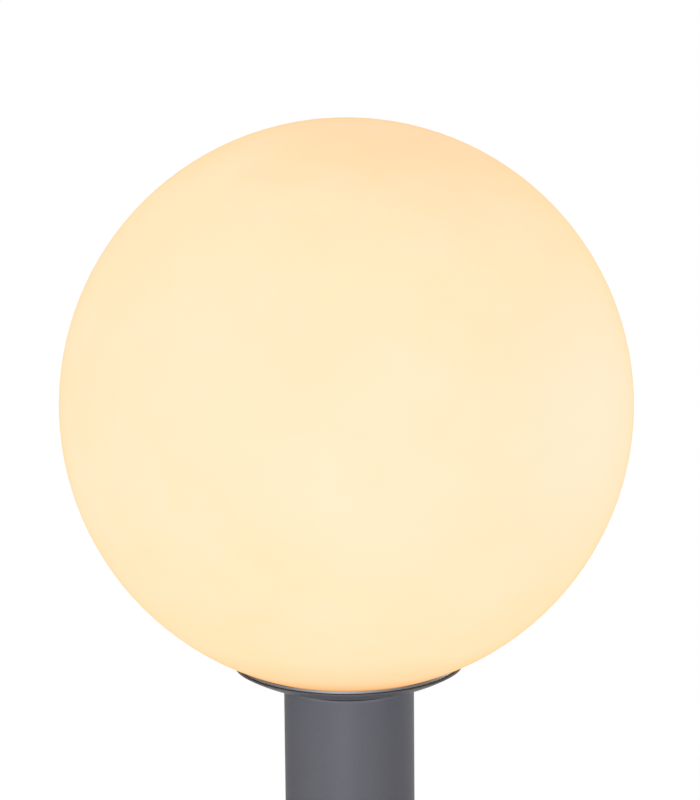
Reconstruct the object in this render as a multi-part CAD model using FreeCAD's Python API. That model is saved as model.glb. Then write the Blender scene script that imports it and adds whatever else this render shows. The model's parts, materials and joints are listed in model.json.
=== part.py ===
import FreeCAD, Part
import math
import os

# Outdoor pedestal light: an opal globe screwed onto a shallow dish on top of a round pole.
# The origin is the centre of the base's underside, +Z is up, and all lengths are millimetres.

# Clearances
RUNNING_GAP = 0.3
SNUG_GAP = 0.1
SCREW_GAP = 0.05
OVERRUN = 1.0

# Globe
GLOBE_RADIUS = 130.0
GLOBE_WALL = 3.0
GLOBE_FOOT_WIDTH = 6.2
LAMP_PASSAGE = 6.2
NECK_WALL = 3.0
NECK_HEIGHT = 12.0
NECK_FLANGE_WIDTH = 5.0
NECK_FLANGE_THICKNESS = 1.6

# Pole
POLE_RADIUS = 30.0
POLE_WALL = 2.0
POLE_LENGTH = 167.7
POLE_EDGE_CHAMFER = 0.8

# Base
PAD_INSET = 1.0
PAD_THICKNESS = 2.0
FLANGE_RADIUS = 75.0
FLANGE_THICKNESS = 10.0
FLANGE_SLOPE = 2.0
FLANGE_ROUNDING = 4.0
FLANGE_LAND = 2.0
FLANGE_RECESS_RADIUS = 24.0
FLANGE_RECESS_DEPTH = 5.0
ANCHOR_INSET = 20.0
ANCHOR_HOLE_RADIUS = 3.5
ANCHOR_COUNT = 3
SPIGOT_HEIGHT = 40.0
SPIGOT_WALL = 3.0
SPIGOT_CHAMFER = 1.0

# Grub screws that lock the pole on the spigot
GRUB_RADIUS = 2.5
GRUB_LENGTH = 4.6
GRUB_RECESS = 0.4
GRUB_HEIGHT = 18.0
GRUB_SOCKET_WIDTH = 2.5
GRUB_SOCKET_DEPTH = 2.0
GRUB_COUNT = 3

# Plug in the pole's top
PLUG_LENGTH = 12.0
PLUG_PLATE = 4.0
PLUG_SKIRT_WALL = 3.0
PLUG_HUB_RADIUS = 9.0
PLUG_BOSS_RADIUS = 5.0

# Seal between the pole and the dish
SEAL_THICKNESS = 1.1
SEAL_WIDTH = 4.7

# Dish
DISH_RIM_WIDTH = 4.0
DISH_RISE = 8.47
DISH_BELLY = 1.18
DISH_WALL = 1.5
DISH_FLOOR = 2.2
DISH_LIP = 0.2
DISH_STEP = 0.25

# Bright ring that the globe hovers over
RING_WIDTH = 4.2
RING_FOOT_GAP = 1.9
RING_OVERHANG = 2.0
RING_LIFT = 0.34
RING_BEVEL = 0.05

# Gallery that the globe's neck screws onto
GALLERY_FLOOR = 2.0
GALLERY_WALL = 2.0
GALLERY_HEIGHT = 15.0
GALLERY_SHELF_GAP = 0.15
GALLERY_SHELF_EDGE = 0.6
THREAD_ALLOWANCE = 1.5
GALLERY_TOP_CHAMFER = 0.8

# Gasket under the globe's foot
GASKET_THICKNESS = 1.5
GASKET_INNER_GAP = 0.7
GASKET_INSET = 0.4

# Screws that hold the gallery and the dish on the plug
GALLERY_SCREW_COUNT = 3
GALLERY_SCREW_INSET = 7.9
GALLERY_SCREW_RADIUS = 2.0
GALLERY_SCREW_REACH = 9.0
GALLERY_SCREW_HEAD_RADIUS = 4.0
GALLERY_SCREW_HEAD = 2.4
GALLERY_SCREW_SLOT = 1.0

# Threaded tube, its washer and its two nuts
TUBE_RADIUS = 5.0
TUBE_BORE_RADIUS = 3.6
TUBE_TAIL = 1.5
NUT_WIDTH = 14.0
NUT_HEIGHT = 3.0
WASHER_RADIUS = 9.0
WASHER_THICKNESS = 1.0

# Lamp holder
HOLDER_RADIUS = 18.5
HOLDER_WALL = 1.8
HOLDER_CAP_HEIGHT = 17.0
HOLDER_CAP_FLOOR = 2.5
HOLDER_CAP_ROUNDING = 2.5
HOLDER_MOUTH_GAP = 1.0
HOLDER_LIP = 1.0
HOLDER_LIP_HEIGHT = 4.0
INSERT_THICKNESS = 6.0
INSERT_SINK = 1.0
SOCKET_RADIUS = 13.4
SOCKET_WALL = 0.4
SOCKET_LENGTH = 20.0
SOCKET_FLOOR = 0.5
SOCKET_OPENING = 6.0
CONTACT_FOOT_RADIUS = 4.0
CONTACT_BUTTON_RADIUS = 3.0
CONTACT_HEIGHT = 2.0

# Lamp
LAMP_RADIUS = 30.0
LAMP_CAP_LENGTH = 20.0
LAMP_CAP_WALL = 0.5
LAMP_CAP_TAPER = 2.0
LAMP_INSULATOR_HEIGHT = 2.0
LAMP_INSULATOR_RADIUS = 9.0
LAMP_TIP_RADIUS = 4.5
LAMP_TIP_HEIGHT = 1.0
LAMP_BODY_LENGTH = 38.0
LAMP_BODY_WALL = 1.6
LAMP_BODY_HOLLOW = 1.6
LAMP_NECK_STEP = 0.4
LAMP_FLARE_SHARE = 0.125
LAMP_DOME_RISE = 14.0
LAMP_DOME_WALL = 1.2
LED_BOARD_GAP = 3.2
LED_BOARD_THICKNESS = 1.6

# Cable gland in the flange's floor
GLAND_STEM_RADIUS = 8.0
GLAND_STEM_TAIL = 0.5
GLAND_STEM_WALL = 2.4
GLAND_HEX_WIDTH = 22.0
GLAND_HEX_HEIGHT = 3.0
GLAND_NECK_HEIGHT = 7.0
GLAND_NECK_WALL = 1.1
GLAND_SEAL_BORE_RADIUS = 4.5
GLAND_SEAL_HEIGHT = 5.0
GLAND_CAP_WALL = 2.2
GLAND_CAP_HEIGHT = 9.0
GLAND_CAP_HOLE_GAP = 0.7
GLAND_CAP_TOP = 2.0
GLAND_NUT_HEIGHT = 3.0

# Terminal bracket and its screw
BRACKET_WIDTH = 20.0
BRACKET_THICKNESS = 1.5
BRACKET_HEAD = 24.0
BRACKET_CORNER = 3.0
BRACKET_SCREW_HEIGHT = 8.0
BRACKET_SCREW_RADIUS = 2.0
BRACKET_SCREW_HEAD_RADIUS = 3.4
BRACKET_SCREW_HEAD = 2.2

# Terminal block, its screws and the earth screw
BLOCK_HEIGHT = 18.0
BLOCK_DEPTH = 13.0
BLOCK_BOTTOM = 44.0
BLOCK_POLE_PITCH = 8.0
BLOCK_POLE_COUNT = 3
BLOCK_GROOVE = 1.2
BLOCK_ENTRY_DEPTH = 5.0
TERMINAL_SCREW_RADIUS = 1.6
TERMINAL_SCREW_SINK = 0.6
TERMINAL_SCREW_SLOT = 0.6
EARTH_SCREW_RADIUS = 2.0
EARTH_SCREW_LENGTH = 6.0
EARTH_SCREW_HEAD_RADIUS = 3.6
EARTH_SCREW_HEAD = 2.2
EARTH_SCREW_DROP = 5.0
EARTH_TAG_RADIUS = 4.2
EARTH_TAG_THICKNESS = 0.8
EARTH_BARREL_RADIUS = 1.7
EARTH_BARREL_LENGTH = 6.0

# Leads
LEAD_RADIUS = 1.1
LEAD_SPACING = 1.4
LEAD_RISE = 22.0
LEAD_APPROACH = 14.0
EARTH_LEAD_RISE = 3.0
BEND_SHARE = 0.45

# Worked out radii
POLE_BORE_RADIUS = POLE_RADIUS - POLE_WALL
PLUG_RADIUS = POLE_BORE_RADIUS - SNUG_GAP
SPIGOT_RADIUS = POLE_BORE_RADIUS - SNUG_GAP
SPIGOT_BORE_RADIUS = SPIGOT_RADIUS - SPIGOT_WALL
PAD_RADIUS = FLANGE_RADIUS - PAD_INSET
ANCHOR_CIRCLE_RADIUS = FLANGE_RADIUS - ANCHOR_INSET
SEAL_RADIUS = POLE_RADIUS - POLE_EDGE_CHAMFER
GALLERY_SCREW_CIRCLE = PLUG_RADIUS - GALLERY_SCREW_INSET
TUBE_HOLE_RADIUS = TUBE_RADIUS + SNUG_GAP
SCREW_HOLE_RADIUS = GALLERY_SCREW_RADIUS + SCREW_GAP
NECK_BORE_RADIUS = LAMP_RADIUS + LAMP_PASSAGE
GALLERY_RADIUS = NECK_BORE_RADIUS - THREAD_ALLOWANCE
NECK_RADIUS = NECK_BORE_RADIUS + NECK_WALL
GLOBE_FOOT_RADIUS = NECK_BORE_RADIUS + GLOBE_FOOT_WIDTH
GASKET_INNER_RADIUS = NECK_BORE_RADIUS + GASKET_INNER_GAP
GASKET_RADIUS = GLOBE_FOOT_RADIUS - GASKET_INSET
RING_INNER_RADIUS = GLOBE_FOOT_RADIUS + RING_FOOT_GAP
RING_OUTER_RADIUS = RING_INNER_RADIUS + RING_WIDTH
RING_HEAD_RADIUS = RING_OUTER_RADIUS + RING_OVERHANG
LEDGE_INNER_RADIUS = RING_INNER_RADIUS - SNUG_GAP
LEDGE_OUTER_RADIUS = RING_OUTER_RADIUS + SNUG_GAP
DISH_RADIUS = LEDGE_OUTER_RADIUS + DISH_RIM_WIDTH
HOLDER_LIP_RADIUS = HOLDER_RADIUS + HOLDER_LIP
LAMP_CAP_RADIUS = SOCKET_RADIUS - RUNNING_GAP
LAMP_SEAM_RADIUS = math.sqrt(LAMP_RADIUS**2 - LAMP_DOME_RISE**2)
LAMP_INNER_SEAM_RADIUS = math.sqrt((LAMP_RADIUS - LAMP_DOME_WALL) ** 2 - LAMP_DOME_RISE**2)
LED_BOARD_RADIUS = LAMP_INNER_SEAM_RADIUS - LED_BOARD_GAP
GLAND_BORE_RADIUS = GLAND_STEM_RADIUS - GLAND_STEM_WALL
GLAND_SEAL_RADIUS = GLAND_STEM_RADIUS - GLAND_NECK_WALL - SNUG_GAP
GLAND_CAP_HOLE_RADIUS = GLAND_SEAL_BORE_RADIUS + GLAND_CAP_HOLE_GAP

# Worked out levels of the base, the pole and the dish
FLANGE_BOTTOM = PAD_THICKNESS
FLANGE_TOP = FLANGE_BOTTOM + FLANGE_THICKNESS
FLOOR_BOTTOM = FLANGE_BOTTOM + FLANGE_RECESS_DEPTH
SPIGOT_TOP = FLANGE_TOP + SPIGOT_HEIGHT
POLE_TOP = FLANGE_TOP + POLE_LENGTH
PLUG_BOTTOM = POLE_TOP - PLUG_LENGTH
DISH_BOTTOM = POLE_TOP + SEAL_THICKNESS
DISH_FLOOR_TOP = DISH_BOTTOM + DISH_FLOOR
GALLERY_FLOOR_TOP = DISH_FLOOR_TOP + GALLERY_FLOOR

# Worked out places of the terminal bracket, which leans on the spigot's bore
BRACKET_BACK = math.sqrt(SPIGOT_BORE_RADIUS**2 - (BRACKET_WIDTH / 2) ** 2) - SNUG_GAP
BRACKET_OFFSET = BRACKET_BACK - BRACKET_THICKNESS
BRACKET_HEIGHT = BLOCK_BOTTOM + BLOCK_HEIGHT + BRACKET_HEAD


def bowl_circle():
    """The centre and radius of the arc that forms the dish's underside, from the hub to the rim."""
    run = DISH_RADIUS - POLE_RADIUS
    chord = math.hypot(run, DISH_RISE)
    radius = (chord**2 / 4 + DISH_BELLY**2) / (2 * DISH_BELLY)
    reach = (radius - DISH_BELLY) / chord
    middle = (POLE_RADIUS + run / 2, DISH_BOTTOM + DISH_RISE / 2)
    return (middle[0] - reach * DISH_RISE, middle[1] + reach * run), radius


def bowl_height(radius, inset):
    """The height of the dish's arc, drawn in by an inset, at a radius."""
    centre, outer = bowl_circle()
    return centre[1] - math.sqrt((outer - inset) ** 2 - (radius - centre[0]) ** 2)


def bowl_reach(height, inset):
    """The radius at which the dish's arc, drawn in by an inset, passes a height."""
    centre, outer = bowl_circle()
    return centre[0] + math.sqrt((outer - inset) ** 2 - (height - centre[1]) ** 2)


# Worked out levels of what stands in the dish
SHELF_BOTTOM = bowl_height(GASKET_RADIUS, DISH_WALL) + GALLERY_SHELF_GAP
SHELF_TOP = SHELF_BOTTOM + GALLERY_SHELF_EDGE
GLOBE_FOOT = SHELF_TOP + GASKET_THICKNESS
GLOBE_CENTRE = GLOBE_FOOT + math.sqrt(GLOBE_RADIUS**2 - GLOBE_FOOT_RADIUS**2)
WASHER_TOP = GALLERY_FLOOR_TOP + WASHER_THICKNESS
HOLDER_BOTTOM = WASHER_TOP + NUT_HEIGHT
HOLDER_SPLIT = HOLDER_BOTTOM + HOLDER_CAP_HEIGHT
INSERT_TOP = HOLDER_SPLIT - INSERT_SINK
INSERT_BOTTOM = INSERT_TOP - INSERT_THICKNESS
LAMP_TIP_BOTTOM = INSERT_TOP + CONTACT_HEIGHT
LAMP_INSULATOR_BOTTOM = LAMP_TIP_BOTTOM + LAMP_TIP_HEIGHT
LAMP_CAP_BOTTOM = LAMP_INSULATOR_BOTTOM + LAMP_INSULATOR_HEIGHT
LAMP_BODY_BOTTOM = LAMP_CAP_BOTTOM + LAMP_CAP_LENGTH
LAMP_DOME_BOTTOM = LAMP_BODY_BOTTOM + LAMP_BODY_LENGTH
HOLDER_TOP = LAMP_BODY_BOTTOM - HOLDER_MOUTH_GAP

UP = FreeCAD.Vector(0, 0, 1)
FORWARD = FreeCAD.Vector(0, 1, 0)
FULL_TURN = 360


class Outline:
    """A closed outline of radii and heights, turned round the Z axis into a solid."""

    def __init__(self, radius, height):
        self.start = FreeCAD.Vector(radius, 0, height)
        self.end = self.start
        self.edges = []

    def to(self, radius, height):
        """Adds a straight edge to the point given."""
        point = FreeCAD.Vector(radius, 0, height)
        self.edges.append(Part.LineSegment(self.end, point).toShape())
        self.end = point
        return self

    def arc(self, middle, end):
        """Adds an arc through the middle point to the end point, each a pair of radius and height."""
        through = FreeCAD.Vector(middle[0], 0, middle[1])
        point = FreeCAD.Vector(end[0], 0, end[1])
        self.edges.append(Part.Arc(self.end, through, point).toShape())
        self.end = point
        return self

    def solid(self):
        """Closes the outline and turns it once round the Z axis."""
        if (self.end - self.start).Length > 0:
            self.edges.append(Part.LineSegment(self.end, self.start).toShape())
        face = Part.Face(Part.Wire(self.edges))
        return face.revolve(FreeCAD.Vector(), UP, FULL_TURN)


def cylinder(radius, low, high, x=0, y=0):
    """An upright cylinder between two heights."""
    return Part.makeCylinder(radius, high - low, FreeCAD.Vector(x, y, low), UP)


def ring(inner, outer, low, high):
    """A flat ring or a straight sleeve between two heights."""
    return Outline(inner, low).to(outer, low).to(outer, high).to(inner, high).solid()


def hexagon(width, low, high):
    """An upright hexagonal prism, given the width across its flats."""
    reach = width / math.sqrt(3)
    corners = [
        FreeCAD.Vector(reach * math.cos(math.pi * side / 3), reach * math.sin(math.pi * side / 3), low)
        for side in range(7)
    ]
    return Part.Face(Part.makePolygon(corners)).extrude(UP * (high - low))


def around(shape, count, first_angle=90):
    """Copies of a shape, evenly spaced round the Z axis. The first lies at an angle from the X axis."""
    copies = []
    for index in range(count):
        copy = shape.copy()
        copy.rotate(FreeCAD.Vector(), UP, first_angle + index * FULL_TURN / count)
        copies.append(copy)
    return copies


def arc_point(centre, radius, angle):
    """The radius and height of a point on an arc, with the angle in degrees from straight down."""
    swing = math.radians(angle)
    return centre[0] + radius * math.sin(swing), centre[1] - radius * math.cos(swing)


def globe_height(radius, shell_radius):
    """The height of a sphere about the globe's centre, in its lower half, at a radius."""
    return GLOBE_CENTRE - math.sqrt(shell_radius**2 - radius**2)


def drill(shape, cutters):
    """A shape with a list of others cut out of it."""
    for cutter in cutters:
        shape = shape.cut(cutter)
    return shape


def base_pad():
    """The rubber pad between the base and the ground."""
    pad = ring(FLANGE_RECESS_RADIUS, PAD_RADIUS, 0, PAD_THICKNESS)
    return drill(pad, anchor_holes())


def anchor_holes():
    """The cutters of the anchor holes, through the flange and the pad."""
    hole = cylinder(ANCHOR_HOLE_RADIUS, -OVERRUN, FLANGE_TOP + OVERRUN, ANCHOR_CIRCLE_RADIUS)
    return around(hole, ANCHOR_COUNT)


def base_flange():
    """The cast base: a sloped disc with a rounded edge, a recess below and a spigot for the pole."""
    edge_top = FLANGE_TOP - FLANGE_SLOPE
    rounding_centre = (FLANGE_RADIUS - FLANGE_ROUNDING, edge_top - FLANGE_ROUNDING)
    flange = (
        Outline(0, FLOOR_BOTTOM)
        .to(FLANGE_RECESS_RADIUS, FLOOR_BOTTOM)
        .to(FLANGE_RECESS_RADIUS, FLANGE_BOTTOM)
        .to(FLANGE_RADIUS, FLANGE_BOTTOM)
        .to(FLANGE_RADIUS, rounding_centre[1])
        .arc(arc_point(rounding_centre, FLANGE_ROUNDING, 135), (rounding_centre[0], edge_top))
        .to(POLE_RADIUS + FLANGE_LAND, FLANGE_TOP)
        .to(SPIGOT_RADIUS, FLANGE_TOP)
        .to(SPIGOT_RADIUS, SPIGOT_TOP - SPIGOT_CHAMFER)
        .to(SPIGOT_RADIUS - SPIGOT_CHAMFER, SPIGOT_TOP)
        .to(SPIGOT_BORE_RADIUS, SPIGOT_TOP)
        .to(SPIGOT_BORE_RADIUS, FLANGE_TOP)
        .to(0, FLANGE_TOP)
        .solid()
    )
    stem_hole = cylinder(GLAND_STEM_RADIUS + SNUG_GAP, FLOOR_BOTTOM - OVERRUN, FLANGE_TOP + OVERRUN)
    return drill(flange, anchor_holes() + grub_holes() + [stem_hole, bracket_screw_hole()])


def grub_holes():
    """The cutters of the tapped holes for the grub screws, through the pole and the spigot."""
    start = SPIGOT_BORE_RADIUS - OVERRUN
    length = POLE_RADIUS + OVERRUN - start
    place = FreeCAD.Vector(start, 0, FLANGE_TOP + GRUB_HEIGHT)
    hole = Part.makeCylinder(GRUB_RADIUS + SCREW_GAP, length, place, FreeCAD.Vector(1, 0, 0))
    return around(hole, GRUB_COUNT)


def pole_grub_screws():
    """The grub screws, each with a hexagonal socket, lying just under the pole's surface."""
    screw = cylinder(GRUB_RADIUS, 0, GRUB_LENGTH)
    socket = hexagon(GRUB_SOCKET_WIDTH, GRUB_LENGTH - GRUB_SOCKET_DEPTH, GRUB_LENGTH + OVERRUN)
    screw = screw.cut(socket)
    screw.rotate(FreeCAD.Vector(), FORWARD, 90)
    screw.translate(FreeCAD.Vector(POLE_RADIUS - GRUB_RECESS - GRUB_LENGTH, 0, FLANGE_TOP + GRUB_HEIGHT))
    return Part.makeCompound(around(screw, GRUB_COUNT))


def pole():
    """The round tube, with a chamfer on its top outer edge."""
    tube = (
        Outline(POLE_BORE_RADIUS, FLANGE_TOP)
        .to(POLE_RADIUS, FLANGE_TOP)
        .to(POLE_RADIUS, POLE_TOP - POLE_EDGE_CHAMFER)
        .to(POLE_RADIUS - POLE_EDGE_CHAMFER, POLE_TOP)
        .to(POLE_BORE_RADIUS, POLE_TOP)
        .solid()
    )
    return drill(tube, grub_holes())


def gallery_screw_holes(low, high):
    """The cutters of the gallery screws' holes between two heights."""
    return around(cylinder(SCREW_HOLE_RADIUS, low, high, GALLERY_SCREW_CIRCLE), GALLERY_SCREW_COUNT)


def pole_top_plug():
    """The cast plug in the pole's top: a plate with a skirt, a hub and a boss for each screw."""
    plate_bottom = POLE_TOP - PLUG_PLATE
    skirt = PLUG_RADIUS - PLUG_SKIRT_WALL
    plug = (
        Outline(TUBE_HOLE_RADIUS, PLUG_BOTTOM)
        .to(PLUG_HUB_RADIUS, PLUG_BOTTOM)
        .to(PLUG_HUB_RADIUS, plate_bottom)
        .to(skirt, plate_bottom)
        .to(skirt, PLUG_BOTTOM)
        .to(PLUG_RADIUS, PLUG_BOTTOM)
        .to(PLUG_RADIUS, POLE_TOP)
        .to(TUBE_HOLE_RADIUS, POLE_TOP)
        .solid()
    )
    boss = cylinder(PLUG_BOSS_RADIUS, PLUG_BOTTOM, POLE_TOP - PLUG_PLATE / 2, GALLERY_SCREW_CIRCLE)
    for copy in around(boss, GALLERY_SCREW_COUNT):
        plug = plug.fuse(copy)
    plug = drill(plug, gallery_screw_holes(PLUG_BOTTOM - OVERRUN, POLE_TOP + OVERRUN))
    return plug.removeSplitter()


def pole_top_seal():
    """The dark seal that shows as a thin line between the pole and the dish."""
    return ring(SEAL_RADIUS - SEAL_WIDTH, SEAL_RADIUS, POLE_TOP, DISH_BOTTOM)


def collar_dish():
    """The shallow dish: a hub as wide as the pole, a bowed underside, a rim and a land for the ring."""
    centre, radius = bowl_circle()
    rim = DISH_BOTTOM + DISH_RISE
    middle = ((POLE_RADIUS + DISH_RADIUS) / 2, bowl_height((POLE_RADIUS + DISH_RADIUS) / 2, 0))
    land = land_point(LEDGE_OUTER_RADIUS)
    land_start = land_point(LEDGE_INNER_RADIUS)
    floor_edge = bowl_reach(DISH_FLOOR_TOP, DISH_WALL)
    inside = (floor_edge + land_start[0]) / 2
    dish = (
        Outline(TUBE_HOLE_RADIUS, DISH_BOTTOM)
        .to(POLE_RADIUS, DISH_BOTTOM)
        .arc(middle, (DISH_RADIUS, rim))
        .to(*rim_point(DISH_RADIUS))
        .to(*rim_point(LEDGE_OUTER_RADIUS))
        .to(*land)
        .to(*land_start)
        .arc((inside, bowl_height(inside, DISH_WALL)), (floor_edge, DISH_FLOOR_TOP))
        .to(TUBE_HOLE_RADIUS, DISH_FLOOR_TOP)
        .solid()
    )
    return drill(dish, gallery_screw_holes(DISH_BOTTOM - OVERRUN, DISH_FLOOR_TOP + OVERRUN))


def land_point(radius):
    """A point on the straight land that the bright ring lies on, at a radius."""
    low = bowl_height(LEDGE_INNER_RADIUS, DISH_WALL)
    high = bowl_height(LEDGE_OUTER_RADIUS, DISH_WALL)
    slope = (high - low) / (LEDGE_OUTER_RADIUS - LEDGE_INNER_RADIUS)
    return radius, low + slope * (radius - LEDGE_INNER_RADIUS)


def rim_point(radius):
    """A point on the straight top of the dish's rim, outside the land, at a radius."""
    low = land_point(LEDGE_OUTER_RADIUS)[1] + DISH_STEP
    high = DISH_BOTTOM + DISH_RISE + DISH_LIP
    slope = (high - low) / (DISH_RADIUS - LEDGE_OUTER_RADIUS)
    return radius, low + slope * (radius - LEDGE_OUTER_RADIUS)


def seat_ring():
    """The bright ring: a foot on the dish's land and an upright head that overhangs the rim."""
    clear = GLOBE_RADIUS + RUNNING_GAP
    bevel_radius = RING_HEAD_RADIUS - RING_BEVEL
    head_bottom = rim_point(RING_HEAD_RADIUS)[1] + RING_LIFT
    return (
        Outline(*land_point(RING_INNER_RADIUS))
        .to(*land_point(RING_OUTER_RADIUS))
        .to(RING_OUTER_RADIUS, head_bottom)
        .to(RING_HEAD_RADIUS, head_bottom)
        .to(RING_HEAD_RADIUS, globe_height(RING_HEAD_RADIUS, clear) - RING_BEVEL)
        .to(bevel_radius, globe_height(bevel_radius, clear))
        .to(RING_INNER_RADIUS, globe_height(RING_INNER_RADIUS, clear))
        .solid()
    )


def threaded_gallery():
    """The gallery: a floor, an upright collar for the globe's neck and a wedge-shaped shelf."""
    inner = GALLERY_RADIUS - GALLERY_WALL
    top = DISH_FLOOR_TOP + GALLERY_HEIGHT
    root = bowl_reach(DISH_FLOOR_TOP, DISH_WALL + SNUG_GAP)
    gallery = (
        Outline(TUBE_HOLE_RADIUS, DISH_FLOOR_TOP)
        .to(root - SNUG_GAP, DISH_FLOOR_TOP)
        .to(GASKET_RADIUS, SHELF_BOTTOM)
        .to(GASKET_RADIUS, SHELF_TOP)
        .to(GALLERY_RADIUS, SHELF_TOP)
        .to(GALLERY_RADIUS, top - GALLERY_TOP_CHAMFER)
        .to(GALLERY_RADIUS - GALLERY_TOP_CHAMFER, top)
        .to(inner, top)
        .to(inner, GALLERY_FLOOR_TOP)
        .to(TUBE_HOLE_RADIUS, GALLERY_FLOOR_TOP)
        .solid()
    )
    return drill(gallery, gallery_screw_holes(DISH_FLOOR_TOP - OVERRUN, GALLERY_FLOOR_TOP + OVERRUN))


def gallery_screws():
    """The pan-head screws through the gallery and the dish into the plug's bosses."""
    shank = cylinder(GALLERY_SCREW_RADIUS, POLE_TOP - GALLERY_SCREW_REACH, GALLERY_FLOOR_TOP)
    head = cylinder(GALLERY_SCREW_HEAD_RADIUS, GALLERY_FLOOR_TOP, GALLERY_FLOOR_TOP + GALLERY_SCREW_HEAD)
    slot = Part.makeBox(
        2 * GALLERY_SCREW_HEAD_RADIUS + 2 * OVERRUN,
        GALLERY_SCREW_SLOT,
        GALLERY_SCREW_HEAD,
        FreeCAD.Vector(
            -GALLERY_SCREW_HEAD_RADIUS - OVERRUN,
            -GALLERY_SCREW_SLOT / 2,
            GALLERY_FLOOR_TOP + GALLERY_SCREW_HEAD / 2,
        ),
    )
    screw = shank.fuse(head).cut(slot)
    screw.translate(FreeCAD.Vector(GALLERY_SCREW_CIRCLE, 0, 0))
    return Part.makeCompound(around(screw, GALLERY_SCREW_COUNT))


def globe_gasket():
    """The flat rubber gasket between the gallery's shelf and the globe's foot."""
    return ring(GASKET_INNER_RADIUS, GASKET_RADIUS, SHELF_TOP, GLOBE_FOOT)


def globe():
    """The hollow opal globe, with a mouth at the bottom and a flat ground foot round it."""
    inner_radius = GLOBE_RADIUS - GLOBE_WALL
    mouth = NECK_RADIUS + SNUG_GAP
    return (
        Outline(mouth, GLOBE_FOOT)
        .to(GLOBE_FOOT_RADIUS, GLOBE_FOOT)
        .arc((GLOBE_RADIUS, GLOBE_CENTRE), (0, GLOBE_CENTRE + GLOBE_RADIUS))
        .to(0, GLOBE_CENTRE + inner_radius)
        .arc((inner_radius, GLOBE_CENTRE), (mouth, globe_height(mouth, inner_radius)))
        .solid()
    )


def globe_neck():
    """The threaded collar that is bonded into the globe's mouth by a flange on its inside."""
    lower = GLOBE_RADIUS - GLOBE_WALL - SNUG_GAP
    upper = lower - NECK_FLANGE_THICKNESS
    edge = NECK_RADIUS + NECK_FLANGE_WIDTH
    middle = NECK_RADIUS + NECK_FLANGE_WIDTH / 2
    neck_top = GLOBE_FOOT + NECK_HEIGHT
    return (
        Outline(NECK_BORE_RADIUS, GLOBE_FOOT)
        .to(NECK_RADIUS, GLOBE_FOOT)
        .to(NECK_RADIUS, globe_height(NECK_RADIUS, lower))
        .arc((middle, globe_height(middle, lower)), (edge, globe_height(edge, lower)))
        .to(edge, globe_height(edge, upper))
        .arc((middle, globe_height(middle, upper)), (NECK_RADIUS, globe_height(NECK_RADIUS, upper)))
        .to(NECK_RADIUS, neck_top)
        .to(NECK_BORE_RADIUS, neck_top)
        .solid()
    )


def threaded_tube():
    """The hollow threaded tube that clamps the holder and carries the leads."""
    low = PLUG_BOTTOM - NUT_HEIGHT - TUBE_TAIL
    high = HOLDER_BOTTOM + HOLDER_CAP_FLOOR + TUBE_TAIL
    return ring(TUBE_BORE_RADIUS, TUBE_RADIUS, low, high)


def nut(low):
    """A hexagonal nut on the threaded tube, standing at a height."""
    body = hexagon(NUT_WIDTH, low, low + NUT_HEIGHT)
    return body.cut(cylinder(TUBE_HOLE_RADIUS, low - OVERRUN, low + NUT_HEIGHT + OVERRUN))


def lock_washer():
    """The washer between the gallery's floor and the upper nut."""
    return ring(TUBE_HOLE_RADIUS, WASHER_RADIUS, GALLERY_FLOOR_TOP, WASHER_TOP)


def holder_cap():
    """The lower half of the lamp holder, a cup with a rounded foot."""
    inner = HOLDER_RADIUS - HOLDER_WALL
    foot = (HOLDER_RADIUS - HOLDER_CAP_ROUNDING, HOLDER_BOTTOM + HOLDER_CAP_ROUNDING)
    return (
        Outline(TUBE_HOLE_RADIUS, HOLDER_BOTTOM)
        .to(foot[0], HOLDER_BOTTOM)
        .arc(arc_point(foot, HOLDER_CAP_ROUNDING, 45), (HOLDER_RADIUS, foot[1]))
        .to(HOLDER_RADIUS, HOLDER_SPLIT)
        .to(inner, HOLDER_SPLIT)
        .to(inner, HOLDER_BOTTOM + HOLDER_CAP_FLOOR)
        .to(TUBE_HOLE_RADIUS, HOLDER_BOTTOM + HOLDER_CAP_FLOOR)
        .solid()
    )


def holder_shell():
    """The upper half of the lamp holder, a skirt with a lip round its mouth."""
    inner = SOCKET_RADIUS + SOCKET_WALL + SNUG_GAP
    lip_bottom = HOLDER_TOP - HOLDER_LIP_HEIGHT
    lip = HOLDER_LIP_RADIUS - HOLDER_RADIUS
    return (
        Outline(inner, HOLDER_SPLIT)
        .to(HOLDER_RADIUS, HOLDER_SPLIT)
        .to(HOLDER_RADIUS, lip_bottom - lip)
        .to(HOLDER_LIP_RADIUS, lip_bottom)
        .to(HOLDER_LIP_RADIUS, HOLDER_TOP - lip)
        .to(HOLDER_RADIUS, HOLDER_TOP)
        .to(inner, HOLDER_TOP)
        .solid()
    )


def holder_insert():
    """The ceramic insert that carries the socket and the centre contact."""
    return cylinder(HOLDER_RADIUS - HOLDER_WALL - SNUG_GAP, INSERT_BOTTOM, INSERT_TOP)


def holder_thread_shell():
    """The metal socket, a thin cup whose floor is open round the centre contact."""
    outer = SOCKET_RADIUS + SOCKET_WALL
    return (
        Outline(SOCKET_OPENING, INSERT_TOP)
        .to(outer, INSERT_TOP)
        .to(outer, INSERT_TOP + SOCKET_LENGTH)
        .to(SOCKET_RADIUS, INSERT_TOP + SOCKET_LENGTH)
        .to(SOCKET_RADIUS, INSERT_TOP + SOCKET_FLOOR)
        .to(SOCKET_OPENING, INSERT_TOP + SOCKET_FLOOR)
        .solid()
    )


def holder_centre_contact():
    """The centre contact, a foot with a raised button under the lamp's tip."""
    step = INSERT_TOP + CONTACT_HEIGHT / 2
    return (
        Outline(0, INSERT_TOP)
        .to(CONTACT_FOOT_RADIUS, INSERT_TOP)
        .to(CONTACT_FOOT_RADIUS, step)
        .to(CONTACT_BUTTON_RADIUS, step)
        .to(CONTACT_BUTTON_RADIUS, LAMP_TIP_BOTTOM)
        .to(0, LAMP_TIP_BOTTOM)
        .solid()
    )


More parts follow.
